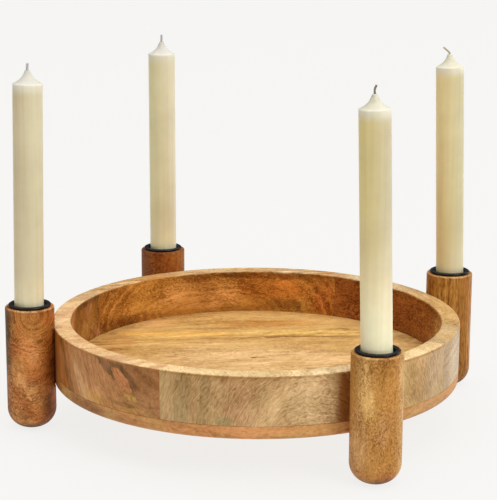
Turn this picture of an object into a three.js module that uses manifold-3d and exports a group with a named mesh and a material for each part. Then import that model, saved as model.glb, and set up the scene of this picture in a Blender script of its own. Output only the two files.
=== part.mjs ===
// Wooden advent wreath: a round wooden tray carried between four upright posts, with a metal
// candle cup and a stick candle in each post. Millimetres, +Z up, feet on z = 0.
// The near side of the tray faces -Y and +X points to the right.

import * as THREE from "three";
import { mergeVertices } from "three/addons/utils/BufferGeometryUtils.js";
import Module from "manifold-3d";

const wasm = await Module();
wasm.setup();

// Driving dimensions of the tray
const TRAY_RADIUS = 156.3;
const RIM_WALL = 14.1;
const TRAY_UNDERSIDE = 30.5;
const SEAM_HEIGHT = 40.5;
const FLOOR_TOP = 42.3;
const RIM_TOP = 77;
const FLOOR_EDGE_ROUNDING = 4;
const RIM_EDGE_ROUNDING = 1.2;
const BOARD_WIDTH = 104;
const BOARD_DIRECTION = 10;
const RIM_JOINTS = { right: -30, back: 60.9, left: 151.9, front: 243.4 };

// Driving dimensions of the posts and their dowels
const POST_RADIUS = 18.4;
const POST_HEIGHT = 94;
const POST_FOOT_RADIUS = 3.4;
const POST_EDGE_ROUNDING = 1.4;
const POST_SEAT_DEPTH = 1;
const POST_CIRCLE = TRAY_RADIUS + POST_RADIUS - POST_SEAT_DEPTH;
const DOWEL_RADIUS = 4;
const DOWEL_CHAMFER = 0.8;
const DOWEL_IN_RIM = 9.6;
const DOWEL_IN_POST = 11.6;
const DOWEL_HEIGHTS = { lower: 50, upper: 63 };

// Driving dimensions of the candle cups
const CUP_RADIUS = 13;
const CUP_WALL = 1;
const CUP_DEPTH = 21;
const CUP_CORNER = 0.8;
const BEAD_CENTRE_RADIUS = 14;
const BEAD_CENTRE_RISE = 0.9;
const BEAD_HALF_WIDTH = 2;
const BEAD_HALF_HEIGHT = 1.3;

// Driving dimensions of the candles and wicks
const CANDLE_RADIUS = 11;
const CANDLE_BODY = 187.5;
const CANDLE_TIP = 10.2;
const CANDLE_TIP_RADIUS = 1.9;
const CANDLE_WAIST = { radius: 3.6, rise: 3.2 };
const CANDLE_EDGE = 0.5;
const WICK_BORE_RADIUS = 1.3;
const WICK_OVERLAP = 2;
const WICK_END_SHARE = 0.98;

// Clearances between the pieces
const GLUE_LINE = 0.2;
const FIT = 0.3;
const DOWEL_FIT = 0.25;
const STANDING_GAP = 0.03;

// Sides of the turned pieces, and steps along their rounded outlines
const TRAY_SIDES = 72;
const POST_SIDES = 36;
const CUP_SIDES = 28;
const CANDLE_SIDES = 28;
const DOWEL_SIDES = 16;
const WICK_SIDES = 8;
const SEAT_CUTTER_SIDES = 288;
const FLOOR_EDGE_STEPS = 4;
const SMALL_EDGE_STEPS = 2;
const POST_FOOT_STEPS = 7;
const BEAD_STEPS = 7;
const CANDLE_TIP_STEPS = 6;
const WICK_STEPS = 10;

// The four stations, by the angle round the tray. The candles lean a little in their cups:
// lean is in degrees towards +X and shift is how far the candle's foot stands off centre.
// The wick's free end is given as steps sideways and up from the candle's point.
const STATIONS = [
  {
    name: "back_right", angle: 24.2, lean: -1.7, shift: 0.75,
    wickRadius: 0.75, bend: [[-0.5, 1.2], [-2.4, 3.2], [-5.2, 5.6]],
  },
  {
    name: "back_left", angle: 116.2, lean: -0.1, shift: 0.4,
    wickRadius: 0.95, bend: [[0, 2], [0.1, 4], [0, 6]],
  },
  {
    name: "front_left", angle: 191, lean: 1, shift: -0.7,
    wickRadius: 1, bend: [[-0.1, 1.6], [0, 3.3], [0.3, 5.1]],
  },
  {
    name: "front_right", angle: 297.3, lean: -1.6, shift: -0.15,
    wickRadius: 0.8, bend: [[-0.1, 2], [0.3, 4], [1.4, 5.9]],
  },
];

const rad = THREE.MathUtils.degToRad;

// Solids and meshes

function toSolid(geometry) {
  const mergeDistance = 1e-4;
  const bare = geometry.clone();
  bare.deleteAttribute("normal");
  bare.deleteAttribute("uv");
  const merged = mergeVertices(bare, mergeDistance);
  const index = merged.index.array;
  const triangles = [];
  for (let i = 0; i < index.length; i += 3) {
    const [a, b, c] = [index[i], index[i + 1], index[i + 2]];
    if (a !== b && b !== c && c !== a) triangles.push(a, b, c);
  }
  const vertProperties = new Float32Array(merged.attributes.position.array);
  const triVerts = new Uint32Array(triangles);
  return new wasm.Manifold(new wasm.Mesh({ numProp: 3, vertProperties, triVerts }));
}

function toGeometry(solid) {
  const mesh = solid.getMesh();
  const geometry = new THREE.BufferGeometry();
  geometry.setAttribute("position", new THREE.BufferAttribute(mesh.vertProperties, 3));
  geometry.setIndex(new THREE.BufferAttribute(mesh.triVerts, 1));
  geometry.computeVertexNormals();
  return geometry;
}

// A turned solid about the Z axis, from an outline of [radius, height] points
function turned(outline, sides) {
  const points = outline.map(([radius, height]) => new THREE.Vector2(radius, height));
  return new THREE.LatheGeometry(points, sides).rotateX(Math.PI / 2);
}

// Points along an elliptical arc of an outline
function arc(centreRadius, centreHeight, halfWidth, halfHeight, fromDegrees, toDegrees, steps) {
  const points = [];
  for (let i = 0; i <= steps; i += 1) {
    const angle = rad(fromDegrees + ((toDegrees - fromDegrees) * i) / steps);
    const radius = centreRadius + halfWidth * Math.cos(angle);
    const height = centreHeight + halfHeight * Math.sin(angle);
    points.push([radius, height]);
  }
  return points;
}

function makeMesh(name, geometry, material) {
  const mesh = new THREE.Mesh(geometry, material);
  mesh.name = name;
  return mesh;
}

// Materials

const wood = (color, roughness) => new THREE.MeshStandardMaterial({ color, roughness, metalness: 0 });
const floorWood = wood(0xcf9f60, 0.55);
const rimWood = wood(0xb98650, 0.55);
const postWood = wood(0x9a6230, 0.5);
const dowelWood = wood(0xd8bd8c, 0.7);
const blackMetal = new THREE.MeshStandardMaterial({ color: 0x24211f, roughness: 0.42, metalness: 0.8 });
const ivoryWax = new THREE.MeshStandardMaterial({ color: 0xe6dcb4, roughness: 0.45, metalness: 0 });
const wickCotton = new THREE.MeshStandardMaterial({ color: 0xa49c90, roughness: 0.9, metalness: 0 });

// Tray floor: one round panel glued up from three boards. Its border is rebated, so the rim
// stands on a step and closes round the raised middle.

function floorPanel() {
  const round = FLOOR_EDGE_ROUNDING;
  const stepRadius = TRAY_RADIUS - RIM_WALL - FIT;
  return toSolid(turned([
    [0, TRAY_UNDERSIDE],
    ...arc(TRAY_RADIUS - round, TRAY_UNDERSIDE + round, round, round, -90, 0, FLOOR_EDGE_STEPS),
    [TRAY_RADIUS, SEAM_HEIGHT],
    [stepRadius, SEAM_HEIGHT],
    [stepRadius, FLOOR_TOP],
    [0, FLOOR_TOP],
  ], TRAY_SIDES));
}

function boardSlab(fromY, toY) {
  const slab = new THREE.BoxGeometry(3 * TRAY_RADIUS, toY - fromY, 3 * RIM_TOP);
  slab.translate(0, (fromY + toY) / 2, 0);
  return toSolid(slab.rotateZ(rad(BOARD_DIRECTION)));
}

function floorBoards() {
  const panel = floorPanel();
  const seam = BOARD_WIDTH / 2;
  const halfGap = GLUE_LINE / 2;
  const beyond = 2 * TRAY_RADIUS;
  const strips = {
    floor_board_back: [seam + halfGap, beyond],
    floor_board_middle: [-seam + halfGap, seam - halfGap],
    floor_board_front: [-beyond, -seam - halfGap],
  };
  return Object.entries(strips).map(([name, [from, to]]) =>
    makeMesh(name, toGeometry(panel.intersect(boardSlab(from, to))), floorWood));
}

// Tray rim: four quarter rings butted end to end, with blind dowel holes behind the posts

function rimRing() {
  const inner = TRAY_RADIUS - RIM_WALL;
  const round = RIM_EDGE_ROUNDING;
  return toSolid(turned([
    [inner, SEAM_HEIGHT],
    [TRAY_RADIUS, SEAM_HEIGHT],
    ...arc(TRAY_RADIUS - round, RIM_TOP - round, round, round, 0, 90, SMALL_EDGE_STEPS),
    ...arc(inner + round, RIM_TOP - round, round, round, 90, 180, SMALL_EDGE_STEPS),
    [inner, SEAM_HEIGHT],
  ], TRAY_SIDES));
}

// A wedge that opens from one joint to the next, drawn in by half a glue line at each side
function quarterWedge(fromDegrees, toDegrees) {
  const reach = 2 * TRAY_RADIUS;
  const start = rad(fromDegrees);
  const end = rad(toDegrees);
  const middle = (start + end) / 2;
  const apex = GLUE_LINE / 2 / Math.sin((end - start) / 2);
  const corner = (angle, distance) => new THREE.Vector2(
    apex * Math.cos(middle) + distance * Math.cos(angle),
    apex * Math.sin(middle) + distance * Math.sin(angle),
  );
  const outline = new THREE.Shape([
    corner(middle, 0),
    corner(start, reach),
    corner(middle, 2 * reach),
    corner(end, reach),
  ]);
  return toSolid(new THREE.ExtrudeGeometry(outline, { depth: 2 * RIM_TOP, bevelEnabled: false }));
}

function rimQuarters() {
  const drilled = STATIONS.reduce(
    (ring, station) => ring.subtract(dowelHoles(station.angle, 0, 0)),
    rimRing(),
  );
  const { right, back, left, front } = RIM_JOINTS;
  const quarters = {
    rim_back: [back, left],
    rim_left: [left, front],
    rim_front: [front, right + 360],
    rim_right: [right, back],
  };
  return Object.entries(quarters).map(([name, [from, to]]) =>
    makeMesh(name, toGeometry(drilled.intersect(quarterWedge(from, to))), rimWood));
}

// Dowels lie along a radius of the tray. The holes are a little longer and wider than they are.

function radialRod(radius, fromRadius, toRadius, height, chamfer, angleDegrees) {
  const length = toRadius - fromRadius;
  const rod = turned([
    [0, 0],
    [radius - chamfer, 0],
    [radius, chamfer],
    [radius, length - chamfer],
    [radius - chamfer, length],
    [0, length],
  ], DOWEL_SIDES);
  rod.rotateY(Math.PI / 2);
  rod.translate(fromRadius, 0, height);
  return rod.rotateZ(rad(angleDegrees));
}

function dowelHoles(angleDegrees, originX, originY) {
  const bores = Object.values(DOWEL_HEIGHTS).map((height) => {
    const from = TRAY_RADIUS - DOWEL_IN_RIM - FIT;
    const to = TRAY_RADIUS + DOWEL_IN_POST + FIT;
    const rod = radialRod(DOWEL_RADIUS + DOWEL_FIT, from, to, height, DOWEL_CHAMFER, angleDegrees);
    return toSolid(rod.translate(-originX, -originY, 0));
  });
  return bores[0].add(bores[1]);
}

function dowels(station) {
  return Object.entries(DOWEL_HEIGHTS).map(([level, height]) => {
    const from = TRAY_RADIUS - DOWEL_IN_RIM;
    const to = TRAY_RADIUS + DOWEL_IN_POST;
    const rod = radialRod(DOWEL_RADIUS, from, to, height, DOWEL_CHAMFER, station.angle);
    return makeMesh(`dowel_${level}_${station.name}`, rod, dowelWood);
  });
}

// Post: turned with a domed foot and a flat end, bored for the cup, and let in a little
// where the tray's wall meets it

function post(station, x, y) {
  const dome = POST_RADIUS - POST_FOOT_RADIUS;
  const edge = POST_EDGE_ROUNDING;
  const boreRadius = CUP_RADIUS + FIT;
  const boreFloor = POST_HEIGHT - CUP_DEPTH - CUP_WALL - FIT;
  const turning = toSolid(turned([
    [0, 0],
    ...arc(POST_FOOT_RADIUS, dome, dome, dome, -90, 0, POST_FOOT_STEPS),
    ...arc(POST_RADIUS - edge, POST_HEIGHT - edge, edge, edge, 0, 90, SMALL_EDGE_STEPS),
    [boreRadius, POST_HEIGHT],
    [boreRadius, boreFloor],
    [0, boreFloor],
  ], POST_SIDES));
  const seatBottom = TRAY_UNDERSIDE - FIT;
  const seatTop = RIM_TOP + FIT;
  const traySeat = new THREE.CylinderGeometry(
    TRAY_RADIUS + FIT, TRAY_RADIUS + FIT, seatTop - seatBottom, SEAT_CUTTER_SIDES,
  );
  traySeat.rotateX(Math.PI / 2).translate(-x, -y, (seatTop + seatBottom) / 2);
  const solid = turning.subtract(toSolid(traySeat)).subtract(dowelHoles(station.angle, x, y));
  return makeMesh(`post_${station.name}`, toGeometry(solid), postWood);
}

// Cup: a spun metal tube with a closed bottom and a rounded bead that rests on the post's end

function cup(station) {
  const floor = POST_HEIGHT - CUP_DEPTH;
  const inside = CUP_RADIUS - CUP_WALL;
  const beadHeight = POST_HEIGHT + BEAD_CENTRE_RISE;
  const restAngle = -THREE.MathUtils.radToDeg(Math.asin(BEAD_CENTRE_RISE / BEAD_HALF_HEIGHT));
  const [width, height] = [BEAD_HALF_WIDTH, BEAD_HALF_HEIGHT];
  const bead = arc(BEAD_CENTRE_RADIUS, beadHeight, width, height, restAngle, 180, BEAD_STEPS);
  const geometry = turned([
    [0, floor - CUP_WALL],
    [CUP_RADIUS - CUP_CORNER, floor - CUP_WALL],
    [CUP_RADIUS, floor - CUP_WALL + CUP_CORNER],
    [CUP_RADIUS, POST_HEIGHT],
    ...bead,
    [inside, floor + CUP_CORNER],
    [inside - CUP_CORNER, floor],
    [0, floor],
  ], CUP_SIDES);
  return makeMesh(`cup_${station.name}`, geometry, blackMetal);
}

// Candle: a straight body with a hollow-sided point, cast round the wick

function candle(station) {
  const shoulder = new THREE.Vector2(CANDLE_RADIUS - CANDLE_EDGE, CANDLE_BODY + CANDLE_EDGE);
  const waist = new THREE.Vector2(CANDLE_WAIST.radius, CANDLE_BODY + CANDLE_WAIST.rise);
  const point = new THREE.Vector2(CANDLE_TIP_RADIUS, CANDLE_BODY + CANDLE_TIP);
  const tip = new THREE.QuadraticBezierCurve(shoulder, waist, point).getPoints(CANDLE_TIP_STEPS);
  const geometry = turned([
    [WICK_BORE_RADIUS, 0],
    [CANDLE_RADIUS - CANDLE_EDGE, 0],
    [CANDLE_RADIUS, CANDLE_EDGE],
    [CANDLE_RADIUS, CANDLE_BODY],
    ...tip.map(({ x, y }) => [x, y]),
    [WICK_BORE_RADIUS, CANDLE_BODY + CANDLE_TIP],
    [WICK_BORE_RADIUS, 0],
  ], CANDLE_SIDES);
  return makeMesh(`candle_${station.name}`, geometry, ivoryWax);
}

// Wick: straight inside the candle, then its free end bends. The free end is a little thinner
// and starts inside the straight core, so that the two join in one solid.

function wick(station) {
  const point = CANDLE_BODY + CANDLE_TIP;
  const radius = station.wickRadius;
  const core = turned([[0, FIT], [radius, FIT], [radius, point], [0, point]], WICK_SIDES);
  const corners = [];
  for (let i = 0; i < WICK_SIDES; i += 1) {
    const angle = (2 * Math.PI * i) / WICK_SIDES;
    const endRadius = WICK_END_SHARE * radius;
    corners.push(new THREE.Vector2(endRadius * Math.cos(angle), endRadius * Math.sin(angle)));
  }
  const steps = [[0, -WICK_OVERLAP], [0, 0], ...station.bend];
  const route = steps.map(([side, up]) => new THREE.Vector3(side, 0, point + up));
  const freeEnd = new THREE.ExtrudeGeometry(new THREE.Shape(corners), {
    steps: WICK_STEPS,
    bevelEnabled: false,
    extrudePath: new THREE.CatmullRomCurve3(route),
  });
  const solid = toSolid(core).add(toSolid(freeEnd));
  return makeMesh(`wick_${station.name}`, toGeometry(solid), wickCotton);
}

// Each candle stands on the low side of its foot, so it is lifted by what the lean takes down

function leaningCandle(station) {
  const group = new THREE.Group();
  const footDrop = (CANDLE_RADIUS - CANDLE_EDGE) * Math.sin(rad(Math.abs(station.lean)));
  group.add(candle(station), wick(station));
  group.position.set(station.shift, 0, POST_HEIGHT - CUP_DEPTH + footDrop + STANDING_GAP);
  group.rotation.y = rad(station.lean);
  return group;
}

function stationGroup(station) {
  const x = POST_CIRCLE * Math.cos(rad(station.angle));
  const y = POST_CIRCLE * Math.sin(rad(station.angle));
  const group = new THREE.Group();
  group.position.set(x, y, 0);
  group.add(post(station, x, y), cup(station), leaningCandle(station));
  return group;
}

// The origin is under the middle of the whole footprint. The posts aren't evenly spaced,
// so the tray's own axis stands a little off it.

function middleOf(places) {
  return (Math.min(...places) + Math.max(...places)) / 2;
}

const wreath = new THREE.Group();
wreath.name = "wooden_advent_wreath";
wreath.add(...floorBoards(), ...rimQuarters());
for (const station of STATIONS) {
  wreath.add(stationGroup(station), ...dowels(station));
}
const middleX = middleOf(STATIONS.map(({ angle }) => POST_CIRCLE * Math.cos(rad(angle))));
const middleY = middleOf(STATIONS.map(({ angle }) => POST_CIRCLE * Math.sin(rad(angle))));
wreath.position.set(-middleX, -middleY, 0);

export default wreath;
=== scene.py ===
# %% [markdown]
# # A wooden advent wreath
# The real thing is a round tray of warm, figured hardwood. Four upright wooden posts are
# fixed to the outside of its rim, and each post holds a black metal cup with an ivory stick
# candle. The sizes and places of all the pieces are settled already, in a frame that is
# loaded here. This lesson dresses that frame: every piece that shows is modelled again with
# smooth curves in the same place, and gets a finish made of shader nodes alone, so no picture
# is needed and the grain runs through the wood as it does in a real board.

# %% Load the frame
from math import asin, cos, degrees, pi, radians, sin

import bmesh
import bpy
from mathutils import Matrix, Vector


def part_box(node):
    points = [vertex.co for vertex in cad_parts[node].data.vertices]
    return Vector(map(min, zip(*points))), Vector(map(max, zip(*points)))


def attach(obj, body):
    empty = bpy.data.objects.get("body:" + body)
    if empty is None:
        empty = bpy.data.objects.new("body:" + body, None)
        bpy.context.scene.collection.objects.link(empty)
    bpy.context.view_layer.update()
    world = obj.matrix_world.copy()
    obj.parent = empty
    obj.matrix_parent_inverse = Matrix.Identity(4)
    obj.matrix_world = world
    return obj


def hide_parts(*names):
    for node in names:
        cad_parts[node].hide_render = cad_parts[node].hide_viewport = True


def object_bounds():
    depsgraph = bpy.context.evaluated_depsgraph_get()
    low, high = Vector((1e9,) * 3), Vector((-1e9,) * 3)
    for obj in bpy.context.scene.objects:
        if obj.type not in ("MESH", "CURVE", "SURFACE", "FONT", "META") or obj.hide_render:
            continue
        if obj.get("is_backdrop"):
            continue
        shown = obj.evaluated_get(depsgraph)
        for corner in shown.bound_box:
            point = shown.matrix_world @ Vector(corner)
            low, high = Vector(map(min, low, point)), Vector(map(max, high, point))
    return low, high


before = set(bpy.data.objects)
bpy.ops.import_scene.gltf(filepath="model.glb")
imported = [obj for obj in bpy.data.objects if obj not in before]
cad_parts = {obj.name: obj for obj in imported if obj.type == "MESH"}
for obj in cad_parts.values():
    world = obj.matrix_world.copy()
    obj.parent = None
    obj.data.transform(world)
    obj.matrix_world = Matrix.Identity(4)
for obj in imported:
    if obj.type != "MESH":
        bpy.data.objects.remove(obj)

cad_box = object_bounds()
print("frame box in millimetres:", [round(1000 * v) for corner in cad_box for v in corner])

# %% [markdown]
# ## Measuring the frame
# Blender works in metres here, and a maker thinks in millimetres, so one constant turns the
# one into the other. The places come from the frame's own boxes and not from copied
# numbers: the four rim quarters together are as wide as the tray, and a candle cup is
# round, so the middle of its box is the axis of its post.

# %% Places and sizes taken from the frame
MM = 0.001
RIM_QUARTERS = ["back", "left", "front", "right"]
BOARDS = ["back", "middle", "front"]
STATIONS = ["back_right", "back_left", "front_left", "front_right"]


def box_round(nodes):
    boxes = [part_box(node) for node in nodes]
    low = Vector(min(box[0][axis] for box in boxes) for axis in range(3))
    high = Vector(max(box[1][axis] for box in boxes) for axis in range(3))
    return low, high


def middle_of(box):
    return (box[0] + box[1]) / 2


rim_box = box_round(f"rim_{quarter}" for quarter in RIM_QUARTERS)
boards_box = box_round(f"floor_board_{board}" for board in BOARDS)
TRAY_AXIS = middle_of(rim_box) * Vector((1, 1, 0))
TRAY_RADIUS = (rim_box[1].x - rim_box[0].x) / 2
TRAY_UNDERSIDE = boards_box[0].z
FLOOR_TOP = boards_box[1].z
SEAM_HEIGHT = rim_box[0].z
RIM_TOP = rim_box[1].z
POST_AXES = {}
for station in STATIONS:
    POST_AXES[station] = middle_of(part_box(f"cup_{station}")) * Vector((1, 1, 0))
print("tray radius", round(TRAY_RADIUS / MM, 1), "rim top", round(RIM_TOP / MM, 1))

# %% [markdown]
# ## From an outline to a piece
# Nearly everything here was turned on a lathe, so it could be made from cylinders with
# bevels, but one outline that is spun round an axis gives every rounding and every bore at
# once. An outline is a short list of radius and height, with its round stretches worked out
# as arcs. An arc is given by its centre, its half sizes, the angles at its two ends and the
# number of steps between them. A full turn merges with its own start, and a part turn of a
# closed outline gives a solid segment, which is just what a quarter of the rim is.

# %% Outline and lathe helpers
WELD = 1e-7


def arc(centre, half_sizes, from_degrees, to_degrees, steps):
    points = []
    for step in range(steps + 1):
        angle = radians(from_degrees + (to_degrees - from_degrees) * step / steps)
        radius = centre[0] + half_sizes[0] * cos(angle)
        height = centre[1] + half_sizes[1] * sin(angle)
        points.append((radius, height))
    return points


def draw_outline(shape, outline, closed):
    corners = [shape.verts.new((radius, 0, height)) for radius, height in outline]
    for first, second in zip(corners, corners[1:]):
        shape.edges.new((first, second))
    if closed:
        shape.faces.new(corners)


def turned(outline, steps):
    shape = bmesh.new()
    draw_outline(shape, outline, closed=False)
    bmesh.ops.spin(
        shape, geom=shape.verts[:] + shape.edges[:], cent=(0, 0, 0), axis=(0, 0, 1),
        angle=2 * pi, steps=steps, use_merge=True, use_duplicate=False,
    )
    bmesh.ops.remove_doubles(shape, verts=shape.verts, dist=WELD)
    bmesh.ops.recalc_face_normals(shape, faces=shape.faces)
    return shape


def turned_segment(outline, start, sweep, steps):
    shape = bmesh.new()
    draw_outline(shape, outline, closed=True)
    bmesh.ops.rotate(
        shape, verts=shape.verts, cent=(0, 0, 0), matrix=Matrix.Rotation(start, 3, "Z"),
    )
    bmesh.ops.spin(
        shape, geom=shape.verts[:] + shape.edges[:] + shape.faces[:], cent=(0, 0, 0),
        axis=(0, 0, 1), angle=sweep, steps=steps, use_merge=False, use_duplicate=False,
    )
    bmesh.ops.recalc_face_normals(shape, faces=shape.faces)
    return shape


sample = arc((10, 0), (4, 4), -90, 0, 2)
print("an arc in two steps:", [(round(radius, 1), round(height, 1)) for radius, height in sample])

# %% [markdown]
# A finished shape becomes an object that sits at the origin with its place in its mesh, so
# that a pattern in object space stays put. It is shaded smooth, except where two faces meet
# at more than the sharp angle. Each piece stands for one solid of the frame and rides on the
# frame's only body. Edges that don't join exactly two faces are counted, because a closed
# piece has none.

# %% Turn a shape into a named piece
SHARP_ANGLE = radians(32)


def open_edges(shape):
    return sum(1 for edge in shape.edges if len(edge.link_faces) != 2)


def object_from(shape, name):
    mesh = bpy.data.meshes.new(name)
    shape.to_mesh(mesh)
    shape.free()
    made = bpy.data.objects.new(name, mesh)
    bpy.context.scene.collection.objects.link(made)
    return made


def finished_piece(name, shape, node, place):
    bmesh.ops.transform(shape, matrix=place, verts=shape.verts)
    print(name, len(shape.faces), "faces,", open_edges(shape), "open edges")
    piece = object_from(shape, name)
    piece.data.shade_smooth()
    piece.data.set_sharp_from_angle(angle=SHARP_ANGLE)
    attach(piece, "root")
    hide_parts(node)
    return piece


print("an edge of more than", round(degrees(SHARP_ANGLE)), "degrees stays sharp")

# %% [markdown]
# ## The tray's floor
# The floor is one round panel glued up from three boards. Its lower edge is rounded, and
# its border is stepped down, so the rim stands on the step and closes round the raised
# middle. A flat disk with a bevel would give the edge, but not the step, so the panel is
# turned from an outline that starts at the middle of the underside and ends above it.

# %% The outline of the floor
RIM_WALL = 14.1 * MM
SEAM_GAP = 0.12 * MM
FLOOR_EDGE_ROUNDING = 4 * MM
STEP_EASING = 0.35 * MM


def floor_outline():
    corner = TRAY_RADIUS - FLOOR_EDGE_ROUNDING
    lower = TRAY_UNDERSIDE + FLOOR_EDGE_ROUNDING
    rounding = (FLOOR_EDGE_ROUNDING, FLOOR_EDGE_ROUNDING)
    easing = (STEP_EASING, STEP_EASING)
    step = TRAY_RADIUS - RIM_WALL - SEAM_GAP
    seam = SEAM_HEIGHT - SEAM_GAP
    return [
        (0, TRAY_UNDERSIDE),
        *arc((corner, lower), rounding, -90, 0, 10),
        *arc((TRAY_RADIUS - STEP_EASING, seam - STEP_EASING), easing, 0, 90, 4),
        (step, seam),
        *arc((step - STEP_EASING, FLOOR_TOP - STEP_EASING), easing, 0, 90, 3),
        (0, FLOOR_TOP),
    ]


print("the floor is", round((FLOOR_TOP - TRAY_UNDERSIDE) / MM, 1), "mm thick in the middle")

# %% [markdown]
# The panel is turned once for each board, and planes cut it along the glue lines, which run
# at a slight slant to the room because the boards were laid so. One panel could be cut in
# three, but a fresh one for each board keeps the cutting simple. Each cut is closed with a
# face, so every board is a solid of its own.

# %% Model the floor boards
BOARD_WIDTH = 104 * MM
BOARD_DIRECTION = radians(10)
GLUE_LINE = 0.05 * MM
TRAY_STEPS = 240


def cut_away(shape, place, direction):
    cut = bmesh.ops.bisect_plane(
        shape, geom=shape.verts[:] + shape.edges[:] + shape.faces[:], dist=WELD,
        plane_co=place, plane_no=direction, clear_outer=True, clear_inner=False,
    )
    rim = [edge for edge in cut["geom_cut"] if isinstance(edge, bmesh.types.BMEdge)]
    bmesh.ops.contextual_create(shape, geom=rim)


def floor_board(lower_seam, upper_seam):
    shape = turned(floor_outline(), TRAY_STEPS)
    across = Vector((-sin(BOARD_DIRECTION), cos(BOARD_DIRECTION), 0))
    if upper_seam is not None:
        cut_away(shape, across * (upper_seam - GLUE_LINE / 2), across)
    if lower_seam is not None:
        cut_away(shape, across * (lower_seam + GLUE_LINE / 2), -across)
    bmesh.ops.recalc_face_normals(shape, faces=shape.faces)
    return shape


SEAMS = {
    "back": (BOARD_WIDTH / 2, None),
    "middle": (-BOARD_WIDTH / 2, BOARD_WIDTH / 2),
    "front": (None, -BOARD_WIDTH / 2),
}
on_tray = Matrix.Translation(TRAY_AXIS)
board_pieces = {}
for board in BOARDS:
    board_shape = floor_board(*SEAMS[board])
    board_pieces[board] = finished_piece(
        f"board_{board}", board_shape, f"floor_board_{board}", on_tray,
    )

# %% [markdown]
# ## The tray's rim
# The rim is four quarter rings, sawn from planks and butted end to end, which is why the
# grain changes at each joint. A full ring could be cut in four, but a closed outline that is
# turned from one joint to the next gets its two ends by itself. The joints are so tight that
# only the change of grain shows them.

# %% Model the rim quarters
RIM_EDGE_ROUNDING = 1.2 * MM
RIM_JOINTS = {"right": -30, "back": 60.9, "left": 151.9, "front": 243.4}
QUARTER_ENDS = {
    "back": (RIM_JOINTS["back"], RIM_JOINTS["left"]),
    "left": (RIM_JOINTS["left"], RIM_JOINTS["front"]),
    "front": (RIM_JOINTS["front"], RIM_JOINTS["right"] + 360),
    "right": (RIM_JOINTS["right"], RIM_JOINTS["back"]),
}
QUARTER_STEPS = 64
JOINT_GAP = 0.04 * MM


def rim_outline():
    inner = TRAY_RADIUS - RIM_WALL
    corner = RIM_TOP - RIM_EDGE_ROUNDING
    rounding = (RIM_EDGE_ROUNDING, RIM_EDGE_ROUNDING)
    easing = (STEP_EASING, STEP_EASING)
    return [
        (inner, SEAM_HEIGHT),
        *arc((TRAY_RADIUS - STEP_EASING, SEAM_HEIGHT + STEP_EASING), easing, -90, 0, 4),
        *arc((TRAY_RADIUS - RIM_EDGE_ROUNDING, corner), rounding, 0, 90, 6),
        *arc((inner + RIM_EDGE_ROUNDING, corner), rounding, 90, 180, 6),
    ]


rim_pieces = {}
for quarter in RIM_QUARTERS:
    joint_angle = JOINT_GAP / TRAY_RADIUS
    quarter_start = radians(QUARTER_ENDS[quarter][0]) + joint_angle
    quarter_sweep = radians(QUARTER_ENDS[quarter][1]) - joint_angle - quarter_start
    quarter_shape = turned_segment(rim_outline(), quarter_start, quarter_sweep, QUARTER_STEPS)
    rim_pieces[quarter] = finished_piece(
        f"quarter_{quarter}", quarter_shape, f"rim_{quarter}", on_tray,
    )

# %% [markdown]
# ## The posts
# A post is a turned cylinder with a domed foot and a flat end, bored for its candle cup. It
# could be a cylinder with bevels and a hole cut into it, but one outline holds the dome, the
# rounded edge and the bore.

# %% The outline of a post
POST_RADIUS = 18.4 * MM
POST_HEIGHT = 94 * MM
POST_FLAT_RADIUS = 3.4 * MM
POST_EDGE_ROUNDING = 1.4 * MM
BORE_EASING = 0.5 * MM
CUP_RADIUS = 13 * MM
CUP_WALL = 1 * MM
CUP_DEPTH = 21 * MM
BORE_CLEARANCE = 0.15 * MM


def post_outline():
    dome = POST_RADIUS - POST_FLAT_RADIUS
    edge = POST_EDGE_ROUNDING
    bore = CUP_RADIUS + BORE_CLEARANCE
    bore_floor = POST_HEIGHT - CUP_DEPTH - CUP_WALL - BORE_CLEARANCE
    easing = (BORE_EASING, BORE_EASING)
    return [
        (0, 0),
        *arc((POST_FLAT_RADIUS, dome), (dome, dome), -90, 0, 20),
        *arc((POST_RADIUS - edge, POST_HEIGHT - edge), (edge, edge), 0, 90, 6),
        *arc((bore + BORE_EASING, POST_HEIGHT - BORE_EASING), easing, 90, 180, 3),
        (bore, bore_floor),
        (0, bore_floor),
    ]


print("a post is", round(2 * POST_RADIUS / MM, 1), "by", round(POST_HEIGHT / MM, 1), "mm")

# %% [markdown]
# The inner side of a post is scooped out a little, so that it fits the round wall of the
# tray. The scoop is a cut by a wide cylinder in the place of the tray, and a Boolean
# modifier makes it. Its result is taken at once, so the piece keeps a plain mesh.

# %% Model the posts
SEAT_CLEARANCE = 0.06 * MM
POST_STEPS = 128
SEAT_STEPS = 720


def carve(shape, cutter_shape):
    blank = object_from(shape, "blank")
    cutter = object_from(cutter_shape, "cutter")
    carving = blank.modifiers.new("carving", "BOOLEAN")
    carving.operation = "DIFFERENCE"
    carving.solver = "EXACT"
    carving.object = cutter
    view = bpy.context.evaluated_depsgraph_get()
    carved = bmesh.new()
    carved.from_object(blank, view)
    bpy.data.objects.remove(cutter)
    bpy.data.objects.remove(blank)
    return carved


def tray_cutter(axis):
    cutter = bmesh.new()
    depth = RIM_TOP - TRAY_UNDERSIDE + 2 * SEAT_CLEARANCE
    place = Matrix.Translation(TRAY_AXIS - axis + Vector((0, 0, (RIM_TOP + TRAY_UNDERSIDE) / 2)))
    bmesh.ops.create_cone(
        cutter, cap_ends=True, cap_tris=False, segments=SEAT_STEPS, depth=depth,
        radius1=TRAY_RADIUS + SEAT_CLEARANCE, radius2=TRAY_RADIUS + SEAT_CLEARANCE, matrix=place,
    )
    return cutter


post_pieces = {}
for station in STATIONS:
    post_shape = carve(turned(post_outline(), POST_STEPS), tray_cutter(POST_AXES[station]))
    post_pieces[station] = finished_piece(
        f"turning_{station}", post_shape, f"post_{station}",
        Matrix.Translation(POST_AXES[station]),
    )

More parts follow.
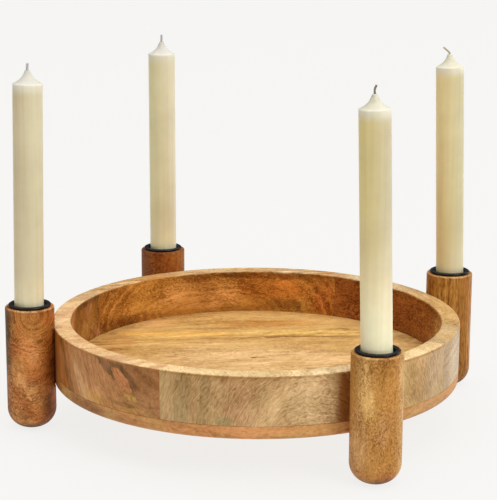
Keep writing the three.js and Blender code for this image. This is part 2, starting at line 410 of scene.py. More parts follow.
# %% [markdown]
# ## The candle cups
# Each cup is spun from thin sheet metal: a tube with a closed bottom and a rolled bead
# that rests on the end of the post. The bead is part of an ellipse, so it catches a soft
# highlight all the way round. A tube and a ring could be joined, but the lathe makes the
# whole cup in one turn.

# %% Model the cups
CUP_CORNER = 0.8 * MM
BEAD_CENTRE = (14 * MM, POST_HEIGHT + 0.9 * MM)
BEAD_HALF_SIZES = (2 * MM, 1.3 * MM)
CUP_STEPS = 96


def cup_outline():
    floor = POST_HEIGHT - CUP_DEPTH
    inside = CUP_RADIUS - CUP_WALL
    corner = (CUP_CORNER, CUP_CORNER)
    rest_angle = -degrees(asin((BEAD_CENTRE[1] - POST_HEIGHT) / BEAD_HALF_SIZES[1]))
    return [
        (0, floor - CUP_WALL),
        *arc((CUP_RADIUS - CUP_CORNER, floor - CUP_WALL + CUP_CORNER), corner, -90, 0, 4),
        (CUP_RADIUS, POST_HEIGHT),
        *arc(BEAD_CENTRE, BEAD_HALF_SIZES, rest_angle, 180, 18),
        *arc((inside - CUP_CORNER, floor + CUP_CORNER), corner, 0, -90, 4),
        (0, floor),
    ]


cup_pieces = {}
for station in STATIONS:
    cup_pieces[station] = finished_piece(
        f"spun_cup_{station}", turned(cup_outline(), CUP_STEPS), f"cup_{station}",
        Matrix.Translation(POST_AXES[station]),
    )

# %% [markdown]
# ## The candles
# A stick candle is a straight cylinder with a soft shoulder and a hollow-sided point, where
# the wax was drawn in round the wick. The point follows a quadratic curve, which is drawn by
# its two ends and one handle. A cone would be simpler, but its straight side looks like a
# pencil. A bore as wide as the wick runs through the whole candle.

# %% The outline of a candle
CANDLE_RADIUS = 11 * MM
CANDLE_BODY = 187.5 * MM
CANDLE_TIP = 10.2 * MM
CANDLE_TIP_RADIUS = 1.9 * MM
CANDLE_EDGE = 0.5 * MM
CANDLE_WAIST = (3.6 * MM, 3.2 * MM)
FOOT_EASING = 0.8 * MM
TIP_CURVE_STEPS = 16


def quadratic_curve(start, handle, end, steps):
    points = []
    for step in range(steps + 1):
        t = step / steps
        weights = ((1 - t) ** 2, 2 * t * (1 - t), t ** 2)
        radius = sum(w * p[0] for w, p in zip(weights, (start, handle, end)))
        height = sum(w * p[1] for w, p in zip(weights, (start, handle, end)))
        points.append((radius, height))
    return points


def candle_outline(wick_radius):
    edge = CANDLE_EDGE
    shoulder = arc((CANDLE_RADIUS - edge, CANDLE_BODY), (edge, edge), 0, 90, 5)
    waist = (CANDLE_WAIST[0], CANDLE_BODY + CANDLE_WAIST[1])
    point = (CANDLE_TIP_RADIUS, CANDLE_BODY + CANDLE_TIP)
    tip = quadratic_curve(shoulder[-1], waist, point, TIP_CURVE_STEPS)
    easing = (FOOT_EASING, FOOT_EASING)
    brim = (CANDLE_TIP_RADIUS - wick_radius) / 2
    lip = arc((CANDLE_TIP_RADIUS - brim, point[1] - brim), (brim, brim), 40, 180, 6)
    return [
        (wick_radius, 0),
        *arc((CANDLE_RADIUS - FOOT_EASING, FOOT_EASING), easing, -90, 0, 5),
        *shoulder,
        *tip[1:-1],
        *lip,
        (wick_radius, 0),
    ]


print("a candle is", round((CANDLE_BODY + CANDLE_TIP) / MM, 1), "mm high with its point")

# %% [markdown]
# Each candle leans a little in its cup and stands on the low side of its foot, so its place
# is a lean in degrees, a sideways shift and the small lift that the lean needs. The object
# could be turned instead, but then its patterns would turn with it, so the lean goes into
# the mesh. The wicks differ in thickness, and so do the bores.

# %% Model the candles
CANDLE_STEPS = 96
STANDING_GAP = 0.03 * MM
CANDLE_LEANS = {"back_right": -1.7, "back_left": -0.1, "front_left": 1, "front_right": -1.6}
CANDLE_SHIFTS = {
    "back_right": 0.75 * MM, "back_left": 0.4 * MM,
    "front_left": -0.7 * MM, "front_right": -0.15 * MM,
}
WICK_RADII = {
    "back_right": 0.75 * MM, "back_left": 0.95 * MM,
    "front_left": 1 * MM, "front_right": 0.8 * MM,
}


def candle_place(station):
    lean = radians(CANDLE_LEANS[station])
    foot_drop = (CANDLE_RADIUS - CANDLE_EDGE) * sin(abs(lean))
    foot = POST_HEIGHT - CUP_DEPTH + foot_drop + STANDING_GAP
    standing = POST_AXES[station] + Vector((CANDLE_SHIFTS[station], 0, foot))
    return Matrix.Translation(standing) @ Matrix.Rotation(lean, 4, "Y")


candle_pieces = {}
for station in STATIONS:
    candle_shape = turned(candle_outline(WICK_RADII[station]), CANDLE_STEPS)
    candle_pieces[station] = finished_piece(
        f"stick_candle_{station}", candle_shape, f"candle_{station}",
        candle_place(station),
    )

# %% [markdown]
# ## The wicks
# A wick is a cord of three cotton strands that are laid round each other. Its own line
# starts just inside the point of the candle and bends the way each wick was left. The bends
# are a few places in millimetres, sideways and up from the point, and a smooth curve through
# them gives the line. A strand winds round that line, so it could be a helix that is bent
# afterwards, but it is simpler to walk along the line and turn as the way gets longer.

# %% The line of a wick and the turns of a strand
WICK_BENDS = {
    "back_right": [(-0.5, 1.2), (-2.4, 3.2), (-5.2, 5.6)],
    "back_left": [(0, 2), (0.1, 4), (0, 6)],
    "front_left": [(-0.1, 1.6), (0, 3.3), (0.3, 5.1)],
    "front_right": [(-0.1, 2), (0.3, 4), (1.4, 5.9)],
}
TWIST_LENGTH = 4.2 * MM
WICK_STEPS = 40
LOOK_AHEAD = 0.01
TOWARDS_BACK = Vector((0, 1, 0))


def point_on_path(path, share):
    spans = len(path) - 1
    index = min(int(share * spans), spans - 1)
    t = share * spans - index
    before = path[max(index - 1, 0)]
    start = path[index]
    end = path[index + 1]
    after = path[min(index + 2, spans)]
    return 0.5 * (
        2 * start + (end - before) * t
        + (2 * before - 5 * start + 4 * end - after) * t ** 2
        + (3 * start - before - 3 * end + after) * t ** 3
    )


def strand_points(path, radius, turn):
    points = []
    walked = 0
    last = point_on_path(path, 0)
    for step in range(WICK_STEPS + 1):
        share = step / WICK_STEPS
        here = point_on_path(path, share)
        walked += (here - last).length
        ahead = point_on_path(path, min(share + LOOK_AHEAD, 1))
        ahead -= point_on_path(path, share - LOOK_AHEAD)
        side = ahead.normalized().cross(TOWARDS_BACK).normalized()
        angle = turn + 2 * pi * walked / TWIST_LENGTH
        points.append(here + radius * (cos(angle) * side + sin(angle) * TOWARDS_BACK))
        last = here
    return points


for station in STATIONS:
    print("the wick", station, "ends", WICK_BENDS[station][-1], "mm from its point")

# %% [markdown]
# The strands are curves first, because a curve with a bevel makes a clean round tube, and
# they become a mesh before they are put in place. Inside the wax nobody sees the twist, so
# one plain core from the foot to just under the point stands for all three strands there.

# %% Model the wicks
STRANDS = 3
STRAND_SHARE = 0.52
STRAND_SIDES = 3
CORE_SHARE = 0.9
CORE_SIDES = 16
WICK_SUNK = 3 * MM
WICK_TRIM = 0.3 * MM


def tube_mesh(points, radius):
    curve = bpy.data.curves.new("strand", "CURVE")
    curve.dimensions = "3D"
    curve.bevel_depth = radius
    curve.bevel_resolution = STRAND_SIDES
    curve.use_fill_caps = True
    line = curve.splines.new("POLY")
    line.points.add(len(points) - 1)
    for corner, place in zip(line.points, points):
        corner.co = (*place, 1)
    holder = bpy.data.objects.new("strand", curve)
    mesh = bpy.data.meshes.new_from_object(holder)
    bpy.data.objects.remove(holder)
    bpy.data.curves.remove(curve)
    return mesh


def wick_shape(station):
    radius = WICK_RADII[station]
    point = CANDLE_BODY + CANDLE_TIP
    path = [Vector((0, 0, point - WICK_SUNK)), Vector((0, 0, point))]
    for side, up in WICK_BENDS[station]:
        path.append(Vector((side * MM, 0, point + up * MM)))
    path[-1] -= (path[-1] - path[-2]).normalized() * WICK_TRIM
    shape = bmesh.new()
    core_length = point - WICK_SUNK
    bmesh.ops.create_cone(
        shape, cap_ends=True, cap_tris=False, segments=CORE_SIDES, depth=core_length,
        radius1=CORE_SHARE * radius, radius2=CORE_SHARE * radius,
        matrix=Matrix.Translation((0, 0, core_length / 2)),
    )
    for strand in range(STRANDS):
        lay = strand_points(path, radius * (1 - STRAND_SHARE), 2 * pi * strand / STRANDS)
        mesh = tube_mesh(lay, radius * STRAND_SHARE)
        shape.from_mesh(mesh)
        bpy.data.meshes.remove(mesh)
    bmesh.ops.remove_doubles(shape, verts=shape.verts, dist=WELD)
    return shape


wick_pieces = {}
for station in STATIONS:
    wick_pieces[station] = finished_piece(
        f"twisted_wick_{station}", wick_shape(station), f"wick_{station}",
        candle_place(station),
    )

# %% [markdown]
# ## Building with shader nodes
# Each finish is a small tree of nodes. They could be added and linked one by one, but short
# helpers keep the trees readable: one fills sockets, one adds a node, and the others do
# sums with numbers and with places. Anything that is given as a socket is linked, and
# anything else is set on the input itself.

# %% Node helpers
def feed(tree, sockets, values):
    for name, value in values.items():
        if isinstance(value, bpy.types.NodeSocket):
            tree.links.new(value, sockets[name])
        else:
            sockets[name].default_value = value


def node(tree, kind, inputs=None, **settings):
    made = tree.nodes.new(kind)
    for name, value in settings.items():
        setattr(made, name, value)
    feed(tree, made.inputs, inputs or {})
    return made


def calc(tree, operation, first, second=0.0, third=0.0, clamp=False):
    inputs = {0: first, 1: second, 2: third}
    return node(tree, "ShaderNodeMath", inputs, operation=operation, use_clamp=clamp).outputs[0]


def vector_calc(tree, operation, first, second=(0, 0, 0)):
    inputs = {0: first, 1: second}
    return node(tree, "ShaderNodeVectorMath", inputs, operation=operation).outputs[0]


def scaled(tree, vector, factor):
    inputs = {0: vector, "Scale": factor}
    return node(tree, "ShaderNodeVectorMath", inputs, operation="SCALE").outputs[0]


def length_of(tree, vector):
    return node(tree, "ShaderNodeVectorMath", {0: vector}, operation="LENGTH").outputs["Value"]


def split(tree, vector):
    return node(tree, "ShaderNodeSeparateXYZ", {0: vector}).outputs


def join(tree, x, y=0.0, z=0.0):
    return node(tree, "ShaderNodeCombineXYZ", {"X": x, "Y": y, "Z": z}).outputs[0]


node_helpers = (feed, node, calc, vector_calc, scaled, length_of, split, join)
print("node helpers:", [helper.__name__ for helper in node_helpers])

# %% [markdown]
# These helpers add what a pattern is made of: an eased ramp between two values, a mix of two
# colours, a noise, and a bump from a height. A colour is given as red, green and blue from
# 0 to 255, as a screen shows it, and is turned into the linear light that a shader reckons
# with.

# %% Helpers for patterns and colours
def ease(tree, value, low, high, to_low=0.0, to_high=1.0):
    inputs = {
        "Value": value, "From Min": low, "From Max": high, "To Min": to_low, "To Max": to_high,
    }
    made = node(tree, "ShaderNodeMapRange", inputs, interpolation_type="SMOOTHSTEP")
    return made.outputs["Result"]


def mix(tree, factor, first, second, blend_type="MIX"):
    inputs = {0: factor, 6: first, 7: second}
    return node(tree, "ShaderNodeMix", inputs, data_type="RGBA", blend_type=blend_type).outputs[2]


def noise(tree, vector, scale, detail=2.0, roughness=0.5, output="Fac"):
    inputs = {"Vector": vector, "Scale": scale, "Detail": detail, "Roughness": roughness}
    return node(tree, "ShaderNodeTexNoise", inputs, noise_dimensions="3D").outputs[output]


def relief(tree, height, strength, distance):
    inputs = {"Height": height, "Strength": strength, "Distance": distance}
    return node(tree, "ShaderNodeBump", inputs).outputs[0]


def colour(red, green, blue):
    def linear(level):
        share = level / 255
        return share / 12.92 if share <= 0.04045 else ((share + 0.055) / 1.055) ** 2.4
    return (linear(red), linear(green), linear(blue), 1)


print("a grey of 128 on a screen is", round(colour(128, 128, 128)[0], 3), "in linear light")

# %% [markdown]
# What several finishes share is built once as a node group with named inputs and outputs. A
# material starts from one shader and its output, and the patterns on it read the place in
# object space, so they stay with the piece. Dressing a piece swaps whatever it wears for
# one material.

# %% Helpers for groups and materials
SOCKET_KINDS = {
    "value": "NodeSocketFloat", "colour": "NodeSocketColor", "vector": "NodeSocketVector",
}


def new_group(name, inputs, outputs):
    tree = bpy.data.node_groups.new(name, "ShaderNodeTree")
    for side, sockets in (("INPUT", inputs), ("OUTPUT", outputs)):
        for label, kind in sockets.items():
            tree.interface.new_socket(label, in_out=side, socket_type=SOCKET_KINDS[kind])
    return tree, node(tree, "NodeGroupInput").outputs, node(tree, "NodeGroupOutput").inputs


def use_group(tree, group, inputs):
    return node(tree, "ShaderNodeGroup", inputs, node_tree=group).outputs


def new_material(name):
    material = bpy.data.materials.new(name)
    material.use_nodes = True
    tree = material.node_tree
    tree.nodes.clear()
    shader = node(tree, "ShaderNodeBsdfPrincipled")
    node(tree, "ShaderNodeOutputMaterial", {"Surface": shader.outputs["BSDF"]})
    return material, tree, shader


def object_place(tree):
    return node(tree, "ShaderNodeTexCoord").outputs["Object"]


def dress(piece, material):
    piece.data.materials.clear()
    piece.data.materials.append(material)
    print(piece.name, "wears", material.name, "of", len(material.node_tree.nodes), "nodes")


print("kinds of group sockets:", sorted(SOCKET_KINDS))

# %% [markdown]
# ## Wood
# A board shows stripes on its face, arches where a curve cuts through the layers and rings
# on its ends, and all of them are the same wood met from another side. So the wood is made
# as a solid pattern in the space of the plank, in millimetres, with X along the fibres. The
# distance from the tree's heart gives the growth layers, which may fade away from the heart.
# One slow noise makes them wander and a quicker one makes them curl, both less near the
# heart, where the rings are small. The fine fibres and the pores are drawn out along a
# layer, so their noise is laid in the distance from the heart and the direction round it.
# Two wide noises give the mottle and the clouds, and a third lets a tint drift over the
# base colour. All the others only shade or lighten that colour, so a mark that is laid on
# the base keeps its grain. A wave texture could draw the layers too, but its stripes are all
# equally wide, and a noise over the distance gives years of every width.

# %% The look of the wood
WOOD_LOOK = {
    "Run": 1.6,  # how long the figure is along the fibres
    "Round": 60.0,  # how fine the fibres are round the heart
    "Layer": 4.0,  # how thick a growth layer is, in millimetres
    "Wander": 12.0,  # how far the slow noise bends the layers
    "Curl": 4.0,  # how far the quick noise bends them
    "Rings": 0.6,  # how strongly the layers show
    "Fade": 1000.0,  # how far from the heart they have faded to a third
    "Fibre": 1.5,  # how strongly the fine fibres show
    "Pores": 0.25,  # how dark the pores are
    "Mottle": 0.4,  # how strongly the small clouds show
    "Cloud": 1.0,  # how strongly the wide clouds show
    "Tinting": 0.6,  # how much of the tint drifts over the base colour
}
print("the look of a wood has", len(WOOD_LOOK), "settings")

# %% [markdown]
# A noise lies round a half, so it is centred before it shifts a tone or bends a place. The
# fibres and pores could do with a noise in three measures, but a fourth one, the distance
# from the heart, makes them change from layer to layer. Each noise has its own scale, in
# waves to a millimetre.

# %% Helpers for the wood group
SCALES = {
    "slow bend": 0.03, "quick bend": 0.14, "fibre": 0.8, "pore": 1.15, "mottle": 0.17,
    "cloud": 0.035, "tint": 0.045,
}


def off_centre(tree, value, weight, start=0.0):
    return calc(tree, "MULTIPLY_ADD", calc(tree, "SUBTRACT", value, 0.5), weight, start)


def bend(tree, place, pattern, reach):
    centred = vector_calc(tree, "SUBTRACT", pattern, (0.5, 0.5, 0.5))
    return vector_calc(tree, "ADD", place, scaled(tree, centred, reach))


def layered_noise(tree, place, distance, scale, detail):
    inputs = {"Vector": place, "W": distance, "Scale": scale, "Detail": detail, "Roughness": 0.6}
    return node(tree, "ShaderNodeTexNoise", inputs, noise_dimensions="4D").outputs["Fac"]


for pattern, scale in SCALES.items():
    print("one wave of the", pattern, "noise is about", round(1 / scale, 1), "mm wide")

# %% [markdown]
# The group is built in four steps. The first bends the plank's space and measures the
# distance from the heart line in it. The second lays the fine figure, the third adds
# everything up to one tone, which is above 0 where the wood is lighter and below 0 where it
# is darker, and the last shades the colour with it.

# %% The wood group
CALM_HEART = (10.0, 45.0)
TINT_PLACE = (71, 33, 57)
PALER = (1.4, 1.48, 1.65, 1)
DEEPER = (0.5, 0.37, 0.22, 1)


def make_wood_group():
    tree, given, out = new_group(
        "figured_wood",
        {
            "Plank": "vector", "Base": "colour", "Tint": "colour",
            **dict.fromkeys(WOOD_LOOK, "value"),
        },
        {"Color": "colour", "Dullness": "value", "Height": "value"},
    )

    parts = split(tree, given["Plank"])
    cut = join(tree, calc(tree, "DIVIDE", parts["X"], given["Run"]), parts["Y"], parts["Z"])
    apart = length_of(tree, vector_calc(tree, "MULTIPLY", given["Plank"], (0, 1, 1)))
    wildness = ease(tree, apart, *CALM_HEART, 0.2, 1.0)
    wander = calc(tree, "MULTIPLY", given["Wander"], wildness)
    curl = calc(tree, "MULTIPLY", given["Curl"], wildness)
    slow = noise(tree, cut, SCALES["slow bend"], 3.0, output="Color")
    quick = noise(tree, cut, SCALES["quick bend"], 1.0, output="Color")
    bent = bend(tree, bend(tree, given["Plank"], slow, wander), quick, curl)
    flat = vector_calc(tree, "MULTIPLY", bent, (0, 1, 1))
    distance = length_of(tree, flat)

    layers = calc(tree, "DIVIDE", distance, given["Layer"])
    layer_inputs = {"W": layers, "Scale": 1.0, "Detail": 2.0, "Roughness": 0.6}
    ring = node(tree, "ShaderNodeTexNoise", layer_inputs, noise_dimensions="1D").outputs["Fac"]
    round_heart = scaled(tree, vector_calc(tree, "NORMALIZE", flat), given["Round"])
    along = join(tree, calc(tree, "DIVIDE", split(tree, bent)["X"], given["Run"]))
    drawn = vector_calc(tree, "ADD", round_heart, along)
    fibre = layered_noise(tree, drawn, distance, SCALES["fibre"], 2.0)
    speck = layered_noise(tree, drawn, distance, SCALES["pore"], 0.0)
    mottle = noise(tree, cut, SCALES["mottle"], 2.0, 0.55)
    cloud = noise(tree, cut, SCALES["cloud"])
    pores = calc(tree, "MULTIPLY", ease(tree, speck, 0.42, 0.3), ease(tree, cloud, 0.65, 0.4))

    faded = ease(tree, apart, 0.0, given["Fade"], 1.0, 0.35)
    tone = off_centre(tree, ring, calc(tree, "MULTIPLY", given["Rings"], faded))
    for pattern, strength in ((fibre, "Fibre"), (mottle, "Mottle"), (cloud, "Cloud")):
        tone = off_centre(tree, pattern, given[strength], tone)
    tone = calc(tree, "SUBTRACT", tone, calc(tree, "MULTIPLY", pores, given["Pores"]))
    darker = calc(tree, "MULTIPLY", tone, -2.0, clamp=True)
    lighter = calc(tree, "MULTIPLY", tone, 2.0, clamp=True)

    drift = noise(tree, vector_calc(tree, "ADD", cut, TINT_PLACE), SCALES["tint"])
    tinting = calc(tree, "MULTIPLY", ease(tree, drift, 0.4, 0.66), given["Tinting"])
    body = mix(tree, tinting, given["Base"], given["Tint"])
    body = mix(tree, lighter, body, mix(tree, 1.0, body, PALER, "MULTIPLY"))
    body = mix(tree, darker, body, mix(tree, 1.0, body, DEEPER, "MULTIPLY"))
    dull = off_centre(tree, mottle, 0.8, off_centre(tree, fibre, 0.6, 0.5))
    feed(tree, out, {
        "Color": body,
        "Dullness": calc(tree, "MULTIPLY_ADD", pores, 0.3, dull),
        "Height": calc(tree, "MULTIPLY_ADD", pores, -0.5, fibre),
    })
    return tree


figured_wood = make_wood_group()
print("wood group with", len(figured_wood.nodes), "nodes")

# %% [markdown]
# A board also has marks that belong to one place: a tongue of pale sapwood, a dark wedge
# of heartwood, an orange patch by a joint. They could be painted by hand, but an ellipse
# with a ragged edge does for all of them. Its place is given by two measures, such as the
# angle round the tray and the height, its slant says how much it leans over as it rises, and
# a noise that is shared by all marks frays its edge. A second group gives the measures from
# an axis: the plan, the angle in degrees, the radius and the height in millimetres.

# %% The group for one mark in the wood
MARK_INPUTS = (
    "Along", "Up", "Middle Along", "Middle Up", "Half Width", "Half Height", "Slant", "Soft",
    "Ragged", "Fray",
)


def make_mark_group():
    tree, given, out = new_group(
        "mark_in_wood", dict.fromkeys(MARK_INPUTS, "value"), {"Mask": "value"},
    )
    along = calc(tree, "SUBTRACT", given["Along"], given["Middle Along"])
    up = calc(tree, "SUBTRACT", given["Up"], given["Middle Up"])
    leaned = calc(tree, "SUBTRACT", along, calc(tree, "MULTIPLY", up, given["Slant"]))
    across = calc(tree, "DIVIDE", leaned, given["Half Width"])
    over = calc(tree, "DIVIDE", up, given["Half Height"])
    square = calc(tree, "MULTIPLY_ADD", over, over, calc(tree, "MULTIPLY", across, across))
    frayed = off_centre(tree, given["Fray"], given["Ragged"], calc(tree, "SQRT", square))
    inner = calc(tree, "SUBTRACT", 1.0, given["Soft"])
    outer = calc(tree, "ADD", 1.0, given["Soft"])
    feed(tree, out, {"Mask": ease(tree, frayed, outer, inner)})
    return tree


def make_round_group():
    tree, given, out = new_group(
        "round_an_axis",
        {"Place": "vector", "Axis": "vector"},
        {"X": "value", "Y": "value", "Angle": "value", "Radius": "value", "Height": "value"},
    )
    moved = vector_calc(tree, "SUBTRACT", given["Place"], given["Axis"])
    measured = scaled(tree, moved, 1 / MM)
    parts = split(tree, measured)
    turn = calc(tree, "ARCTAN2", parts["Y"], parts["X"])
    feed(tree, out, {
        "X": parts["X"],
        "Y": parts["Y"],
        "Angle": calc(tree, "MULTIPLY", turn, 180 / pi),
        "Radius": length_of(tree, vector_calc(tree, "MULTIPLY", measured, (1, 1, 0))),
        "Height": parts["Z"],
    })
    return tree


mark_in_wood = make_mark_group()
round_an_axis = make_round_group()
print("mark group with", len(mark_in_wood.nodes), "nodes, axis group", len(round_an_axis.nodes))

# %% [markdown]
# A mark is written down in one line: its middle, its half sizes, its tone, how much of the
# tone covers the wood there, and how it slants, softens and frays. Marks in plan are placed
# by X and Y, marks in profile by radius and height, such as the rubbed edges, and marks
# round the axis by angle and height. Spots are round the axis too, but are laid last, so
# they lie over the rubbed top of the rim.

# %% Marks in the wood
MARK_MEASURES = {
    "plan": ("X", "Y"), "profile": ("Radius", "Height"), "round": ("Angle", "Height"),
    "spots": ("Angle", "Height"),
}


def mark(middle, half_sizes, tone, amount, slant=0.0, soft=0.35, ragged=1.0):
    shape = {
        "Middle Along": middle[0], "Middle Up": middle[1], "Half Width": half_sizes[0],
        "Half Height": half_sizes[1], "Slant": slant, "Soft": soft, "Ragged": ragged,
    }
    return shape, colour(*tone), amount


def lay_marks(tree, spot, measures, fray, base, marks):
    along, up = (spot[name] for name in measures)
    for shape, tone, amount in marks:
        inputs = {"Along": along, "Up": up, "Fray": fray, **shape}
        mask = use_group(tree, mark_in_wood, inputs)["Mask"]
        base = mix(tree, calc(tree, "MULTIPLY", mask, amount), base, tone)
    return base


print("marks can be placed in", ", ".join(MARK_MEASURES))

# %% [markdown]
# A wood finish puts these together. The plank is placed by the line of the tree's heart and
# turned so that its X runs along the fibres, and a grain below 1 makes its figure finer. The
# marks are laid over the base colour one by one, and the wood group grains the result. A
# setting of the look may hold three values, for the floor and the inside of the rim, for
# the outside, and for the top of the rim. The surface is oiled and thinly lacquered, so it
# is dull from the front and gleams where it turns away: a low specular level and a thin
# coat do that.

# %% Make a wood finish
FRAY_SCALE = 0.22
WALL_MIDDLE = (145.0, 153.0)
TOP_EDGE = (75.6, 76.6)
WOOD_ROUGHNESS = (0.42, 0.66)
WOOD_RELIEF = 0.3 * MM
OILED = {
    "Specular IOR Level": 0.15, "Specular Tint": (1, 0.88, 0.7, 1), "Coat Weight": 0.06,
    "Coat Roughness": 0.28,
}


def wood_material(name, heart, fibres, base, tint, axis, look, grain=(1, 1, 1), **marks):
    material, tree, shader = new_material(name)
    place = object_place(tree)
    turn = Vector(fibres).to_track_quat("X", "Z").to_euler()
    plank = node(
        tree, "ShaderNodeMapping",
        {"Vector": place, "Location": heart, "Rotation": turn, "Scale": Vector(grain) * MM},
        vector_type="TEXTURE",
    ).outputs[0]
    fray = noise(tree, plank, FRAY_SCALE, 4.0, 0.6)
    spot = use_group(tree, round_an_axis, {"Place": place, "Axis": axis})
    marked = colour(*base)
    for kind, chosen in marks.items():
        marked = lay_marks(tree, spot, MARK_MEASURES[kind], fray, marked, chosen)
    inputs = {"Plank": plank, "Base": marked, "Tint": colour(*tint), **WOOD_LOOK, **look}
    for label, value in look.items():
        if isinstance(value, tuple):
            inside, outside, top = value
            on_the_walls = ease(tree, spot["Radius"], *WALL_MIDDLE, inside, outside)
            inputs[label] = ease(tree, spot["Height"], *TOP_EDGE, on_the_walls, top)
    wood = use_group(tree, figured_wood, inputs)
    feed(tree, shader.inputs, {
        "Base Color": wood["Color"],
        "Roughness": ease(tree, wood["Dullness"], 0.2, 0.9, *WOOD_ROUGHNESS),
        "Normal": relief(tree, wood["Height"], 0.3, WOOD_RELIEF),
        **OILED,
    })
    return material


print("an oiled surface:", OILED)

# %% [markdown]
# ## The finish of the floor
# The boards are pale and golden, with darker and lighter streaks along the grain across the
# back half, and one small dark knot with a short crack near the middle. Their border, which
# shows as a band under the rim, is more orange, because cut fibre ends drink more oil, and a
# thin line of painted shade runs along its rounded lower edge. The figure is livelier on the
# floor than on the border, so some settings hold three values. The grain alone could draw the
# streaks, but they would fall anywhere, so the large ones are marks in plan, long and thin, as
# X and Y in millimetres from the middle of the tray. One of them is painted light along the
# back wall, where it lifts the shade at the foot of the wall. Each board was sawn beside its
# own heart, and the hearts are given in metres.

# %% Finish the floor boards
FLOOR_BASE = (195, 151, 87)
FLOOR_TINT = (200, 158, 92)
FLOOR_HEARTS = {"back": (0, 0.19, -0.05), "middle": (0, 0.02, -0.07), "front": (0, -0.1, -0.09)}
FLOOR_LOOK = {
    "Run": 2.6, "Round": 60.0, "Layer": 6.0, "Wander": 22.0, "Curl": 7.0,
    "Rings": (1.0, 0.6, 0.6), "Fibre": 1.1, "Pores": 0.1, "Mottle": (0.6, 0.3, 0.3),
    "Cloud": (0.9, 0.5, 0.5),
}
FLOOR_PLAN = [
    mark((4, 0), (78, 42), (221, 179, 124), 0.8),
    # Painted light along the back wall, lifting the shade at the foot of the wall.
    mark((8, 122), (110, 26), (216, 172, 104), 0.6, soft=0.5),
    mark((106, 54), (22, 44), (230, 188, 126), 0.6, soft=0.5),
    mark((-34, -52), (34, 12), (186, 142, 92), 0.5, soft=0.5, ragged=1.4),
    mark((40, 50), (34, 8), (176, 128, 72), 0.5, soft=0.5, ragged=1.8),
    mark((-112, 46), (16, 30), (176, 122, 62), 0.7, ragged=1.2),
    mark((-58, 70), (50, 8), (218, 164, 80), 0.75, ragged=1.8),
    mark((-84, 53), (20, 4), (168, 116, 50), 0.7, ragged=2.2),
    mark((34, 73), (55, 7), (228, 186, 104), 0.8, ragged=1.8),
    mark((56, 62), (38, 2.4), (138, 96, 40), 0.8, ragged=2.0),
    mark((-40, 86), (34, 3), (164, 114, 52), 0.6, ragged=2.2),
    mark((8, 102), (42, 10), (182, 122, 54), 0.7, ragged=1.8),
    mark((-84, 100), (22, 9), (226, 172, 112), 0.6, ragged=1.4),
    mark((-2, 2.6), (2.4, 1.6), (104, 68, 34), 0.8, ragged=0.8),
    mark((4.4, 4), (6, 1), (128, 88, 48), 0.7, slant=0.5, ragged=1.6),
]
FLOOR_PROFILE = [
    mark((158, 34), (14, 6.3), (214, 148, 92), 1, soft=0.06, ragged=0),
    # Painted shade: a thin dark line along the rounded lower edge.
    mark((157, 29.6), (20, 1.4), (120, 72, 36), 0.6, ragged=0.4),
]
FLOOR_ROUND = [
    mark((-158, 34), (32, 7), (158, 106, 58), 0.9, soft=0.5, ragged=0.5),
    mark((-38, 34), (14, 7), (184, 140, 92), 0.7, soft=0.5, ragged=0.5),
]
grain_direction = (cos(BOARD_DIRECTION), sin(BOARD_DIRECTION), 0)

for board in BOARDS:
    board_finish = wood_material(
        f"board_wood_{board}", FLOOR_HEARTS[board], grain_direction, FLOOR_BASE, FLOOR_TINT,
        TRAY_AXIS, FLOOR_LOOK, plan=FLOOR_PLAN, profile=FLOOR_PROFILE, round=FLOOR_ROUND,
    )
    dress(board_pieces[board], board_finish)

# %% [markdown]
# ## The finish of the rim
# Each quarter was sawn from another plank. The planks of the left and the front quarter
# point outwards, so the wall shows their cut ends, and the growth layers cross it in slanted
# bands or level waves. The planks of the back and the right quarter run along the ring. All
# four could share one material, but then the grain would run on over the joints. A heart is
# given as an angle round the tray and a height, a direction of the fibres as an angle alone.

# %% The planks of the rim
RIM_BASES = {
    "back": (192, 132, 56), "left": (184, 128, 68),
    "front": (198, 157, 107), "right": (156, 93, 39),
}
RIM_TINTS = {
    "back": (170, 108, 40), "left": (190, 128, 80),
    "front": (186, 152, 98), "right": (140, 76, 28),
}
RIM_HEARTS = {"back": (106, 38), "left": (-110, 130), "front": (-76, -8), "right": (15, -40)}
RIM_FIBRES = {"back": 196, "left": 198, "front": -73, "right": 105}
RIM_GRAINS = {
    "back": (0.9, 0.9, 0.9), "left": (0.8, 0.8, 1.2), "front": (0.75, 0.75, 1.1),
    "right": (0.8, 0.8, 0.8),
}
RIM_LOOKS = {
    "back": {
        "Run": 2.2, "Curl": 6.0, "Rings": 1.1, "Fibre": (2.3, 1.8, 1.6), "Pores": (0.3, 0.2, 0.1),
        "Mottle": (0.8, 0.5, 0.2), "Cloud": (2.0, 0.9, 0.6),
    },
    "left": {
        "Round": (90.0, 25.0, 60.0), "Curl": (9.0, 4.0, 4.0), "Fibre": (2.4, 1.3, 1.4),
        "Pores": (0.4, 0.05, 0.05), "Mottle": (0.6, 0.3, 0.15), "Cloud": (0.8, 0.4, 0.3),
    },
    "front": {
        "Round": 24.0, "Layer": 1.2, "Rings": 1.3, "Fade": 110.0, "Fibre": 1.3, "Pores": 0.02,
        "Mottle": (0.3, 0.3, 0.15), "Cloud": (1.0, 1.0, 0.4),
    },
    "right": {
        "Run": 2.2, "Fibre": (3.5, 1.3, 1.4), "Pores": (0.7, 0.02, 0.05),
        "Mottle": (1.0, 0.2, 0.15), "Cloud": (1.4, 0.6, 0.4), "Tinting": (0.6, 0.12, 0.15),
    },
}
for quarter in RIM_QUARTERS:
    off_the_ring = (RIM_FIBRES[quarter] - sum(QUARTER_ENDS[quarter]) / 2) % 180 - 90
    print("the plank at the", quarter, "lies", abs(round(off_the_ring)), "degrees off the ring")
